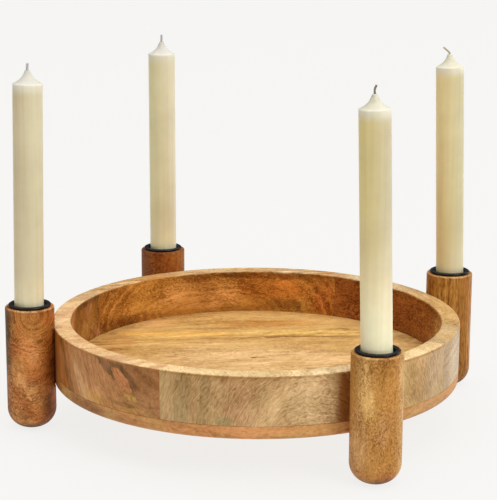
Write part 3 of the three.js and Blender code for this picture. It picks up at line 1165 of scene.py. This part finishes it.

# %% [markdown]
# The quarter at the left holds the border between pale sapwood and dark heartwood: bands
# that lean over, and a dark wedge with a pale tongue in it. Its far end, where the wall turns
# away beside the post, is painted dark as shade, and a painted shadow line runs under the top
# edge on its inside. The front one is paler in the middle and has a painted shadow of the post
# beside it, and the back one has an orange patch by the joint. All of them are marks by angle
# and height. Such a mark lies on both sides of the wall, but the camera sees only the outside
# in the front half of the ring and the inside in the back half.

# %% The marks on the walls of the rim
RIM_MARKS = {
    "left": [
        # Painted shade at the far end, where the wall turns away beside the post.
        mark((-173, 58), (8, 60), (112, 60, 24), 0.8, soft=0.4),
        mark((-159, 58), (7, 50), (172, 98, 12), 0.9, slant=-0.06),
        mark((-155, 60), (1.8, 50), (112, 68, 6), 0.9, slant=-0.2, ragged=1.2),
        mark((-141, 58), (8, 40), (198, 138, 82), 0.7, slant=-0.2),
        mark((-144.6, 48), (2.6, 17), (216, 170, 118), 0.9, slant=-0.26, ragged=0.6),
        mark((-137, 46), (8, 12), (230, 168, 103), 0.7, slant=-0.5, soft=0.6),
        mark((-133, 44), (9, 4), (204, 152, 66), 0.7, slant=-0.5, soft=0.6, ragged=1.6),
        mark((-135.5, 64), (5, 14), (196, 134, 82), 0.6, slant=-0.5),
        mark((-119, 63), (11, 34), (156, 104, 58), 1, slant=-0.5, soft=0.08, ragged=0.6),
        mark((-120, 49), (5, 10), (184, 132, 82), 0.7, soft=0.6),
        mark((-131, 70), (4.6, 12), (114, 80, 42), 1, slant=-0.5, soft=0.12, ragged=0.8),
        mark((-128.4, 63.5), (2.2, 8.5), (208, 136, 82), 1, slant=-0.3, soft=0.1, ragged=0.8),
        mark((-126, 52.5), (2, 2.6), (206, 160, 80), 0.9, slant=-0.3, soft=0.3, ragged=1.2),
        mark((-128, 46), (4, 1.5), (112, 80, 40), 0.6, ragged=2),
        mark((163, 60), (13, 70), (146, 94, 34), 1, soft=0.2),
        # Painted shadow line under the top edge on the inside.
        mark((160, 75), (10, 3.4), (84, 46, 16), 0.75, soft=0.6, ragged=1.6),
        mark((161, 52), (6, 8), (184, 130, 62), 0.7, soft=0.6, ragged=1.4),
        mark((172, 44), (5, 8), (228, 182, 122), 0.8, soft=0.6),
    ],
    "front": [
        mark((-94, 60), (5, 30), (206, 158, 112), 0.5),
        mark((-110.5, 58), (2.2, 40), (158, 136, 90), 0.5, slant=0.02),
        mark((-104.5, 58), (1.3, 40), (148, 122, 74), 0.5, slant=0.04),
        # Painted shade under the rounded top edge.
        mark((-99, 76), (17, 3), (168, 124, 64), 0.5, soft=0.6, ragged=1.6),
        mark((-86, 58), (2.6, 30), (216, 176, 122), 0.6, slant=0.25),
        mark((-76, 58), (7, 19), (228, 190, 140), 0.9),
        # Painted shadow of the post beside it on the wall.
        mark((-67.7, 58), (2.4, 60), (152, 94, 42), 1, soft=0.7, ragged=0.1),
        mark((-99.5, 44), (2.5, 3), (142, 132, 84), 0.5),
        mark((-47, 60), (3, 30), (182, 148, 88), 0.5),
        mark((-34, 56), (6, 24), (196, 167, 131), 0.8),
    ],
    "back": [
        mark((108, 58), (15, 13), (222, 158, 88), 0.7, ragged=2.0),
        mark((82, 77), (32, 6), (118, 74, 24), 0.9, soft=0.5, ragged=2.0),
        mark((147, 58), (9, 20), (164, 98, 32), 0.6, ragged=2.0),
        mark((146, 74), (9, 6), (128, 74, 22), 0.7, soft=0.6, ragged=2.0),
        mark((141, 62), (7, 20), (208, 144, 66), 0.6, soft=0.6, ragged=1.4),
        mark((144, 45), (19, 6), (118, 64, 18), 0.8, soft=0.5, ragged=2.4),
        mark((104, 44), (26, 3), (140, 86, 30), 0.6, soft=0.5, ragged=2.4),
        mark((83, 63), (11, 10), (216, 130, 54), 0.8, soft=0.5, ragged=2.0),
        mark((84, 73), (9, 3), (128, 72, 24), 0.8, slant=1.2, soft=0.4, ragged=2.4),
        mark((79, 49), (6, 3.6), (118, 74, 32), 0.8, soft=0.6, ragged=3.0),
        mark((64.6, 56), (4.6, 16), (198, 116, 54), 0.8, soft=0.3, ragged=1.8),
        mark((63.3, 53), (0.8, 1.4), (84, 36, 12), 0.8, ragged=1.4),
    ],
    "right": [
        mark((0, 66), (9, 18), (204, 156, 88), 1, soft=0.5),
        mark((17, 58), (9, 20), (180, 114, 50), 0.7, soft=0.6, ragged=2.0),
        mark((9, 45), (5, 8), (222, 174, 116), 0.7, soft=0.6),
    ],
}
print("marks on the rim:", {quarter: len(marks) for quarter, marks in RIM_MARKS.items()})

# %% [markdown]
# The top of the rim is rubbed pale by hands. It could be a material of its own, but one mark
# in profile does it: it is wider than the wall and centred above it, so it ends at the
# rounding. Under that rounding, on the left and the front quarter, a thin line of painted
# shade follows the edge. The outside of the quarter at the right, where the ring turns away,
# is painted pale from the bottom to the top as a sheen. Spots then give the top its darker
# and lighter places, and two marks lie on that outside wall: a greyer streak and a paler
# painted sheen.

# %% The top of the rim
TOP_MIDDLE = 81
TOP_REACH = 4.4
# Painted sheen: the outside wall of the right quarter, where the ring turns away, is painted
# pale.
RIGHT_WALL_SHEEN = mark((158, 56), (8, 80), (196, 168, 128), 1, soft=0.3, ragged=0.5)
# Painted shade: a thin dark line under the rounded top edge.
EDGE_SHADE_LINE = mark((156.5, 76), (2, 1), (150, 104, 54), 0.5, soft=0.6, ragged=0.2)


def rubbed_top(tone):
    return mark((149, TOP_MIDDLE), (40, TOP_REACH), tone, 1, soft=0.12, ragged=0.15)


RIM_PROFILES = {
    "back": [rubbed_top((208, 168, 116))],
    "left": [EDGE_SHADE_LINE, rubbed_top((232, 194, 140))],
    "front": [EDGE_SHADE_LINE, rubbed_top((238, 206, 152))],
    "right": [RIGHT_WALL_SHEEN, rubbed_top((202, 163, 106))],
}


def top_spot(angle, width, tone):
    return mark((angle, TOP_MIDDLE), (width, TOP_REACH), tone, 0.8, soft=0.5, ragged=0.6)


RIM_SPOTS = {
    "back": [
        top_spot(98, 6, (228, 196, 142)), top_spot(109, 9, (246, 214, 160)),
        top_spot(123, 6, (208, 152, 86)), top_spot(81, 13, (255, 238, 194)),
    ],
    "left": [
        top_spot(156, 9, (156, 121, 80)), top_spot(-180, 12, (250, 218, 166)),
        top_spot(180, 12, (250, 218, 166)), top_spot(-132, 7, (190, 148, 108)),
    ],
    "front": [top_spot(-73, 8, (246, 220, 176)), top_spot(-92, 12, (204, 174, 124))],
    "right": [
        top_spot(-25, 7, (200, 170, 112)), top_spot(9, 14, (212, 171, 106)),
        top_spot(-12, 8, (158, 124, 60)), top_spot(24, 6, (236, 195, 134)),
        top_spot(36, 7, (218, 194, 152)), top_spot(50, 9, (222, 208, 174)),
        mark((-28, 56), (4, 30), (174, 146, 110), 0.7, soft=0.6, ragged=0.4),
        # Painted sheen on the outside wall at the right end.
        mark((-15, 56), (9, 18), (220, 198, 166), 0.85, soft=0.6, ragged=0.6),
    ],
}


print("spots on the rim:", {quarter: len(spots) for quarter, spots in RIM_SPOTS.items()})

# %% [markdown]
# Now each quarter gets a material of its own. Its heart and its fibres were written down as
# angles round the tray, which are easier to read off the ring than X and Y, so they are
# turned into a place and a direction here.

# %% Finish the rim quarters
def round_tray(angle, height):
    turn = radians(angle)
    return TRAY_AXIS + Vector((TRAY_RADIUS * cos(turn), TRAY_RADIUS * sin(turn), height * MM))


def outward(angle):
    return (cos(radians(angle)), sin(radians(angle)), 0)


for quarter in RIM_QUARTERS:
    rim_finish = wood_material(
        f"rim_wood_{quarter}", round_tray(*RIM_HEARTS[quarter]), outward(RIM_FIBRES[quarter]),
        RIM_BASES[quarter], RIM_TINTS[quarter], TRAY_AXIS, RIM_LOOKS[quarter],
        RIM_GRAINS[quarter], round=RIM_MARKS[quarter], profile=RIM_PROFILES[quarter],
        spots=RIM_SPOTS[quarter],
    )
    dress(rim_pieces[quarter], rim_finish)

# %% [markdown]
# ## The finish of the posts
# The posts are darker, because more of the heartwood is in them. Where the lathe cut
# through a wavy layer it leaves small arches and spots, and the post at the front left even
# has its heart near the top of its face, so its layers hang down from there like swags. The
# hearts are given in metres from the foot of each post's axis. One plank for all four would
# be less work, but each post in such a wreath is cut from another end of the timber.

# %% The timber of the posts
POST_BASES = {
    "back_right": (167, 111, 45), "back_left": (146, 82, 30),
    "front_left": (170, 109, 50), "front_right": (192, 138, 71),
}
POST_TINTS = {
    "back_right": (150, 92, 34), "back_left": (126, 62, 22),
    "front_left": (182, 104, 48), "front_right": (184, 128, 60),
}
POST_HEARTS = {
    "back_right": (0.03, 0.01, 0.04), "back_left": (0.03, 0.02, 0.04),
    "front_left": (0.005, 0, 0.092), "front_right": (-0.03, 0.02, 0.11),
}
POST_FIBRES = {
    "back_right": (0, 0, 1), "back_left": (0, 0.1, 1),
    "front_left": (0, 1, 0.1), "front_right": (0.12, 0.1, 1),
}
POST_LOOKS = {
    "back_right": {
        "Run": 6.0, "Round": 30.0, "Layer": 2.2, "Rings": 1.6, "Fibre": 2.4, "Curl": 2.6,
    },
    "back_left": {"Run": 2.0, "Round": 30.0, "Fibre": 2.2, "Cloud": 1.6, "Pores": 0.4},
    "front_left": {
        "Run": 1.3, "Round": 20.0, "Layer": 2.4, "Rings": 2.3, "Fade": 75.0, "Wander": 26.0,
        "Curl": 9.0, "Fibre": 2.6, "Pores": 0.4, "Mottle": 0.9, "Cloud": 1.6,
    },
    "front_right": {
        "Run": 1.7, "Round": 50.0, "Curl": 7.0, "Fibre": 2.1, "Pores": 0.25, "Mottle": 0.4,
        "Rings": 0.4, "Cloud": 0.9,
    },
}
POST_GRAIN = (0.75, 0.75, 0.75)
for station in STATIONS:
    rise = degrees(asin(Vector(POST_FIBRES[station]).normalized().z))
    print("the fibres of the post", station, "rise by", round(rise), "degrees")

# %% [markdown]
# The marks of the posts are placed by the angle round the post, where -90 faces the camera,
# and the height. They give the arches that the layers alone don't draw, and painted light and
# shade as well: the sides that turn away are painted darker, the side of the post at the front
# left that faces the tray is painted with the tray's shade, and the right edges of the two
# posts at the right are painted pale as a sheen. The rounded edge at the top is painted pale,
# partly as wear and partly as a highlight, apart from one post, where it is painted darker,
# and the foot is painted dark as the shade where it meets the floor.

# %% Finish the posts
POST_MARKS = {
    "front_left": [
        # Painted shade: the left side, where the post turns away, is darker, and the right side,
        # which faces the tray, carries the tray's shade, most of all low down.
        mark((-160, 74), (24, 56), (100, 72, 28), 0.9, soft=0.4, ragged=0.6),
        mark((-16, 55), (32, 90), (144, 80, 26), 0.9, soft=0.5),
        mark((-16, 22), (38, 32), (92, 48, 18), 0.8, soft=0.5),
        mark((-154, 44), (17, 100), (96, 58, 20), 0.3, soft=0.6, ragged=0.4),
        mark((-90, 63), (26, 10), (214, 142, 82), 0.6, slant=-0.8, soft=0.6, ragged=1.6),
        mark((-84, 40), (18, 5), (112, 62, 24), 0.7, slant=0.8, ragged=2.4),
        mark((-112, 28), (40, 20), (220, 156, 94), 0.7, slant=-0.6, soft=0.5, ragged=1.6),
        mark((-100, 14), (20, 4), (110, 58, 22), 0.6, ragged=2.4),
    ],
    "front_right": [
        mark((-118, 66), (16, 24), (230, 182, 110), 0.8, slant=-0.6, soft=0.5, ragged=1.4),
        mark((-144, 30), (30, 26), (218, 166, 108), 0.8, soft=0.5, ragged=1.4),
        mark((-62, 60), (26, 90), (174, 118, 60), 0.6, slant=0.2, soft=0.6, ragged=1.8),
        mark((-84, 40), (14, 14), (206, 154, 98), 0.6, soft=0.5, ragged=1.4),
        mark((-84, 5), (110, 8), (176, 102, 58), 0.6, soft=0.6, ragged=0.6),
        mark((-122, 87), (18, 12), (214, 166, 100), 0.5, soft=0.6, ragged=0.8),
        mark((-20, 87), (16, 12), (204, 164, 106), 0.6, soft=0.6, ragged=0.8),
        mark((-78, 84), (15, 12), (160, 108, 42), 0.7, soft=0.6, ragged=0.8),
        # Painted sheen: the right edge of this post is painted pale where it catches the light.
        mark((-22, 60), (18, 90), (214, 172, 114), 0.6, soft=0.5),
        mark((-9, 52), (9, 30), (240, 216, 172), 0.7, soft=0.5, ragged=0.5),
    ],
    "back_right": [
        mark((-116, 60), (14, 60), (188, 132, 62), 0.6, soft=0.5),
        mark((-62, 60), (15, 60), (136, 86, 30), 0.6, soft=0.5),
        # Painted sheen on the right edge of this post.
        mark((-16, 60), (16, 70), (206, 160, 108), 0.7, soft=0.5),
    ],
    "back_left": [
        mark((-14, 80), (44, 90), (186, 120, 48), 0.8, soft=0.6),
        # Painted shade on the left side, where the post turns away.
        mark((-166, 60), (34, 110), (74, 38, 10), 0.5, soft=0.7, ragged=0.3),
    ],
}
# The rounded top edge is painted pale, partly as wear and partly as a highlight; at the back left
# it is painted darker as shade.
WORN_AND_LIT_EDGE_TONE = (200, 166, 118)
POST_EDGES = {
    "back_right": WORN_AND_LIT_EDGE_TONE, "back_left": (110, 66, 34),
    "front_left": WORN_AND_LIT_EDGE_TONE, "front_right": WORN_AND_LIT_EDGE_TONE,
}
# Painted shade where the foot meets the floor.
POST_FOOT_SHADE = mark((0, 0), (21, 7), (66, 28, 10), 0.95, soft=0.5, ragged=0.3)

for station in STATIONS:
    heart = POST_AXES[station] + Vector(POST_HEARTS[station])
    edge_wear_and_light = mark((18.6, 94.2), (1.3, 1.1), POST_EDGES[station], 0.7, soft=0.4, ragged=0.5)
    post_finish = wood_material(
        f"post_wood_{station}", heart, POST_FIBRES[station], POST_BASES[station],
        POST_TINTS[station], POST_AXES[station], POST_LOOKS[station], POST_GRAIN,
        round=POST_MARKS[station], profile=[edge_wear_and_light, POST_FOOT_SHADE],
    )
    dress(post_pieces[station], post_finish)

# %% [markdown]
# ## The dowels
# The dowels are hidden in their holes. They could be modelled again too, but nobody sees
# them, so they keep the frame's own meshes and get a plain pale hardwood from the same wood
# group.

# %% Finish the dowels
dowel_finish = wood_material(
    "dowel_wood", TRAY_AXIS, (1, 0, 0), (206, 170, 118), (214, 178, 126),
    TRAY_AXIS, {"Run": 4.0, "Layer": 2.0, "Wander": 2.0},
)
for station in STATIONS:
    for level in ("lower", "upper"):
        dress(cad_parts[f"dowel_{level}_{station}"], dowel_finish)

# %% [markdown]
# ## The finish of the cups
# The cups are sheet metal with a thin black finish. It could be a plain black, but it is
# nearly smooth, so the bead catches the studio's light, and handling has left faint rubbed
# places and a fine grain.

# %% Finish the cups
RUBBED_SCALE = 160.0
METAL_GRAIN_SCALE = 1800.0
METAL_ROUGHNESS = (0.2, 0.34)
METAL_RELIEF = 0.1 * MM
BLACK_FINISH = colour(9, 5, 3)
RUBBED_FINISH = colour(21, 16, 14)


def make_metal():
    material, tree, shader = new_material("cup_metal")
    place = object_place(tree)
    rubbed = noise(tree, place, RUBBED_SCALE, 4.0, 0.6)
    grain = noise(tree, place, METAL_GRAIN_SCALE)
    feed(tree, shader.inputs, {
        "Base Color": mix(tree, ease(tree, rubbed, 0.4, 0.75), BLACK_FINISH, RUBBED_FINISH),
        "Roughness": ease(tree, rubbed, 0.3, 0.8, *METAL_ROUGHNESS),
        "Normal": relief(tree, grain, 0.12, METAL_RELIEF),
        "Specular IOR Level": 0.22,
    })
    return material


cup_finish = make_metal()
for station in STATIONS:
    dress(cup_pieces[station], cup_finish)

# %% [markdown]
# ## The finish of the candles
# Candle wax lets some light in, so it is lit from within near the point and along its
# edges. Subsurface scattering does that. Faint upright streaks from the mould and a
# slightly cloudy tone keep it from looking like plastic. The wax is also painted with light
# and shade: yellower on its shaded left side, whiter on its lit right side, where the sheen
# lies, and paler just under the point, for the light that shines through the thin wax there.
# The point has its own tone and the foot is paler, each in its own measure on every candle.
# So the pattern is a group with those tones as inputs, and it reads the candle's own leaning
# axis as well as the room's.

# %% The group for wax
# Painted light: the pale wax just under the point stands for light shining through the thin wax.
LIT_THROUGH_WAX = colour(226, 221, 202)
FOOT_WAX = colour(254, 241, 203)
CLOUDY = (0.93, 0.92, 0.9, 1)
CLEAR = (1.06, 1.07, 1.09, 1)
STREAK_FACTORS = (420, 420, 6)
WAX_CLOUD_SCALE = 28.0
SKIN_SCALE = 700.0
POINT_BLEND = 9 * MM
WAX_ROUGHNESS = (0.36, 0.5)


def make_wax_group():
    tree, given, out = new_group(
        "cloudy_wax",
        {
            "Place": "vector", "Own Place": "vector", "Left": "colour", "Right": "colour",
            "Point": "colour", "Foot Height": "value", "Foot Share": "value",
        },
        {"Color": "colour", "Roughness": "value", "Height": "value"},
    )
    own = split(tree, given["Own Place"])
    side = ease(tree, own["X"], -CANDLE_RADIUS, CANDLE_RADIUS)
    near_point = ease(tree, own["Z"], CANDLE_BODY - POINT_BLEND, CANDLE_BODY)
    on_cone = ease(tree, own["Z"], CANDLE_BODY - MM, CANDLE_BODY + 2 * MM)
    near_foot = ease(tree, own["Z"], given["Foot Height"], CUP_DEPTH, 0.0, given["Foot Share"])
    streaks = noise(tree, vector_calc(tree, "MULTIPLY", given["Place"], STREAK_FACTORS), 1.0)
    cloud = noise(tree, given["Place"], WAX_CLOUD_SCALE, 3.0, 0.55)
    skin = noise(tree, given["Place"], SKIN_SCALE)
    tone = off_centre(tree, streaks, 0.5, cloud)
    cloudy = mix(tree, ease(tree, tone, 0.25, 0.75), CLOUDY, CLEAR)
    # Painted shading across the candle, from the shaded side tone to the lit side tone.
    body = mix(tree, near_foot, mix(tree, side, given["Left"], given["Right"]), FOOT_WAX)
    whole = mix(tree, near_point, body, mix(tree, on_cone, LIT_THROUGH_WAX, given["Point"]))
    fine = calc(tree, "MULTIPLY", skin, 0.4)
    feed(tree, out, {
        "Color": mix(tree, 1.0, whole, cloudy, "MULTIPLY"),
        "Roughness": ease(tree, cloud, 0.2, 0.8, *WAX_ROUGHNESS),
        "Height": calc(tree, "MULTIPLY_ADD", streaks, 0.6, fine),
    })
    return tree


cloudy_wax = make_wax_group()
print("wax group with", len(cloudy_wax.nodes), "nodes")

# %% [markdown]
# Each candle gets its own material, because its axis and its tones are its own. The light
# goes about six millimetres into the wax, red the furthest and blue the least.

# %% Finish the candles
WAX_DEPTH = 6 * MM
WAX_RELIEF = 0.2 * MM
WAXY = {
    "Subsurface Weight": 0.6, "Subsurface Radius": (1.0, 0.75, 0.4),
    "Subsurface Scale": WAX_DEPTH, "IOR": 1.43,
}
GREY_POINT = colour(212, 208, 196)
YELLOW_POINT = colour(216, 211, 189)


def make_wax(name, lean, look):
    material, tree, shader = new_material(name)
    place = object_place(tree)
    own = node(
        tree, "ShaderNodeMapping",
        {"Vector": place, "Location": lean.to_translation(), "Rotation": lean.to_euler()},
        vector_type="TEXTURE",
    ).outputs[0]
    wax = use_group(tree, cloudy_wax, {"Place": place, "Own Place": own, **look})
    feed(tree, shader.inputs, {
        "Base Color": wax["Color"],
        "Roughness": wax["Roughness"],
        "Normal": relief(tree, wax["Height"], 0.15, WAX_RELIEF),
        **WAXY,
    })
    return material


def wax_look(left, right, point, foot_height, foot_share):
    return {
        "Left": colour(*left), "Right": colour(*right), "Point": point,
        "Foot Height": foot_height * MM, "Foot Share": foot_share,
    }


# Painted light and shade: each candle gets a tone for its shaded left side and one for its lit
# right side, where the sheen lies.
WAX_LOOKS = {
    "back_right": wax_look((240, 222, 164), (208, 198, 158), YELLOW_POINT, 60, 0.4),
    "back_left": wax_look((226, 217, 170), (222, 213, 182), GREY_POINT, 60, 0.4),
    "front_left": wax_look((216, 199, 162), (217, 209, 175), GREY_POINT, 52, 0.65),
    "front_right": wax_look((225, 207, 143), (206, 194, 160), YELLOW_POINT, 128, 1),
}
for station in STATIONS:
    wax_finish = make_wax(f"candle_wax_{station}", candle_place(station), WAX_LOOKS[station])
    dress(candle_pieces[station], wax_finish)

# %% [markdown]
# ## The finish of the wicks
# The cotton is dull and has some lint. Two wicks are clean and pale, one is yellowed by
# wax and one is darker, so the lint is a group and the two tones are its inputs.

# %% Finish the wicks
LINT_SCALE = 2600.0
LINT_ROUGHNESS = (0.6, 0.9)
LINT_RELIEF = 0.1 * MM


def make_cotton_group():
    tree, given, out = new_group(
        "twisted_cotton",
        {"Place": "vector", "Light": "colour", "Dark": "colour"},
        {"Color": "colour", "Roughness": "value", "Height": "value"},
    )
    lint = noise(tree, given["Place"], LINT_SCALE, 3.0, 0.6)
    feed(tree, out, {
        "Color": mix(tree, ease(tree, lint, 0.3, 0.7), given["Dark"], given["Light"]),
        "Roughness": ease(tree, lint, 0.2, 0.8, *LINT_ROUGHNESS),
        "Height": lint,
    })
    return tree


def make_cotton(name, light, dark):
    material, tree, shader = new_material(name)
    inputs = {"Place": object_place(tree), "Light": colour(*light), "Dark": colour(*dark)}
    cotton = use_group(tree, twisted_cotton, inputs)
    feed(tree, shader.inputs, {
        "Base Color": cotton["Color"],
        "Roughness": cotton["Roughness"],
        "Normal": relief(tree, cotton["Height"], 0.4, LINT_RELIEF),
    })
    return material


twisted_cotton = make_cotton_group()
pale_cotton = make_cotton("wick_cotton_pale", (212, 204, 200), (168, 160, 156))
waxed_cotton = make_cotton("wick_cotton_waxed", (200, 194, 162), (156, 150, 118))
dark_cotton = make_cotton("wick_cotton_dark", (150, 146, 126), (94, 90, 74))
WICK_FINISHES = {
    "back_right": waxed_cotton, "back_left": pale_cotton,
    "front_left": pale_cotton, "front_right": dark_cotton,
}
for station in STATIONS:
    dress(wick_pieces[station], WICK_FINISHES[station])

# %% [markdown]
# ## Studio
# The wreath stands in a plain white studio. One wide floor fills the whole picture, so there
# is no seam behind the object, and it glows by itself, which keeps its shadows faint, as on
# a lit table. Many lamps could light it evenly, but a sky that is brightest overhead does
# the work of one large soft lamp and has no edge. Two soft lamps at the right give the round
# pieces their light side.

# %% Floor, world and lamps
STUDIO_HALF_SIZE = 30
STUDIO_FLOOR = {
    "Base Color": (0.08, 0.08, 0.08, 1), "Roughness": 1, "Specular IOR Level": 0,
    "Emission Color": (1, 0.99, 0.9695, 1), "Emission Strength": 0.83,
}
SKY_LOW = 0.06
SKY_HIGH = 2.5
SKY_FALL = 3.0


def make_floor():
    shape = bmesh.new()
    bmesh.ops.create_grid(shape, x_segments=1, y_segments=1, size=STUDIO_HALF_SIZE)
    floor = object_from(shape, "studio_floor")
    material, tree, shader = new_material("studio_floor")
    feed(tree, shader.inputs, STUDIO_FLOOR)
    dress(floor, material)
    floor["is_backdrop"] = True


def make_world():
    world = bpy.data.worlds.new("studio")
    world.use_nodes = True
    tree = world.node_tree
    height = split(tree, node(tree, "ShaderNodeTexCoord").outputs["Generated"])["Z"]
    overhead = calc(tree, "POWER", calc(tree, "MAXIMUM", height, 0.0), SKY_FALL)
    level = calc(tree, "MULTIPLY_ADD", overhead, SKY_HIGH, SKY_LOW)
    feed(tree, tree.nodes["Background"].inputs, {"Strength": level, "Color": (1, 1, 1, 1)})
    bpy.context.scene.world = world


def softbox(name, place, aim, size, power):
    lamp = bpy.data.lights.new(name, "AREA")
    lamp.shape = "DISK"
    lamp.size = size
    lamp.energy = power
    holder = bpy.data.objects.new(name, lamp)
    bpy.context.scene.collection.objects.link(holder)
    facing = (Vector(aim) - Vector(place)).to_track_quat("-Z", "Y").to_matrix().to_4x4()
    holder.matrix_world = Matrix.Translation(place) @ facing
    print(name, "with", power, "watts, a disk of", size, "metres")


make_floor()
make_world()
middle = middle_of(cad_box)
softbox("key_light", (2.1, -2.1, 2.2), middle, size=1.8, power=52)
softbox("right_light", (2.6, 1.6, 1.0), middle, size=1.6, power=12)

# %% [markdown]
# ## Camera
# A product photo like this is taken from over a metre away with a long lens, so the upright
# lines stay nearly parallel. The camera could be aimed at the middle of the wreath, but its
# own three turns frame the picture more exactly: it looks down by thirteen degrees, a
# little to the right, and is level to a quarter of a degree.

# %% Camera
CAMERA_PLACE = (-0.02301, -1.27566, 0.42786)
CAMERA_DOWN = radians(13.192)
CAMERA_RIGHT = radians(1.032)
CAMERA_ROLL = radians(0.247)
LENS = 123.27
FILM = 36

lens = bpy.data.cameras.new("camera")
lens.sensor_width = FILM
lens.lens = LENS
lens.clip_start = 0.05
lens.clip_end = 200
camera = bpy.data.objects.new("camera", lens)
bpy.context.scene.collection.objects.link(camera)
facing = (
    Matrix.Rotation(-CAMERA_RIGHT, 4, "Z")
    @ Matrix.Rotation(pi / 2 - CAMERA_DOWN, 4, "X")
    @ Matrix.Rotation(CAMERA_ROLL, 4, "Z")
)
camera.matrix_world = Matrix.Translation(CAMERA_PLACE) @ facing
bpy.context.scene.camera = camera
bpy.context.scene.view_settings.view_transform = "Standard"
print("camera looks along", [round(v, 4) for v in facing @ Vector((0, 0, -1))])

# %% [markdown]
# ## The size against the frame
# The dressed model has to stay inside the frame's box, because the real sizes are settled
# there. So the dressed model's box is measured, and the room between the two boxes is printed
# for each side.

# %% Print the room to the frame's box
visual_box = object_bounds()
for side in range(3):
    low_room = visual_box[0][side] - cad_box[0][side]
    high_room = cad_box[1][side] - visual_box[1][side]
    print("xyz"[side], "room in millimetres", round(low_room / MM, 2), round(high_room / MM, 2))
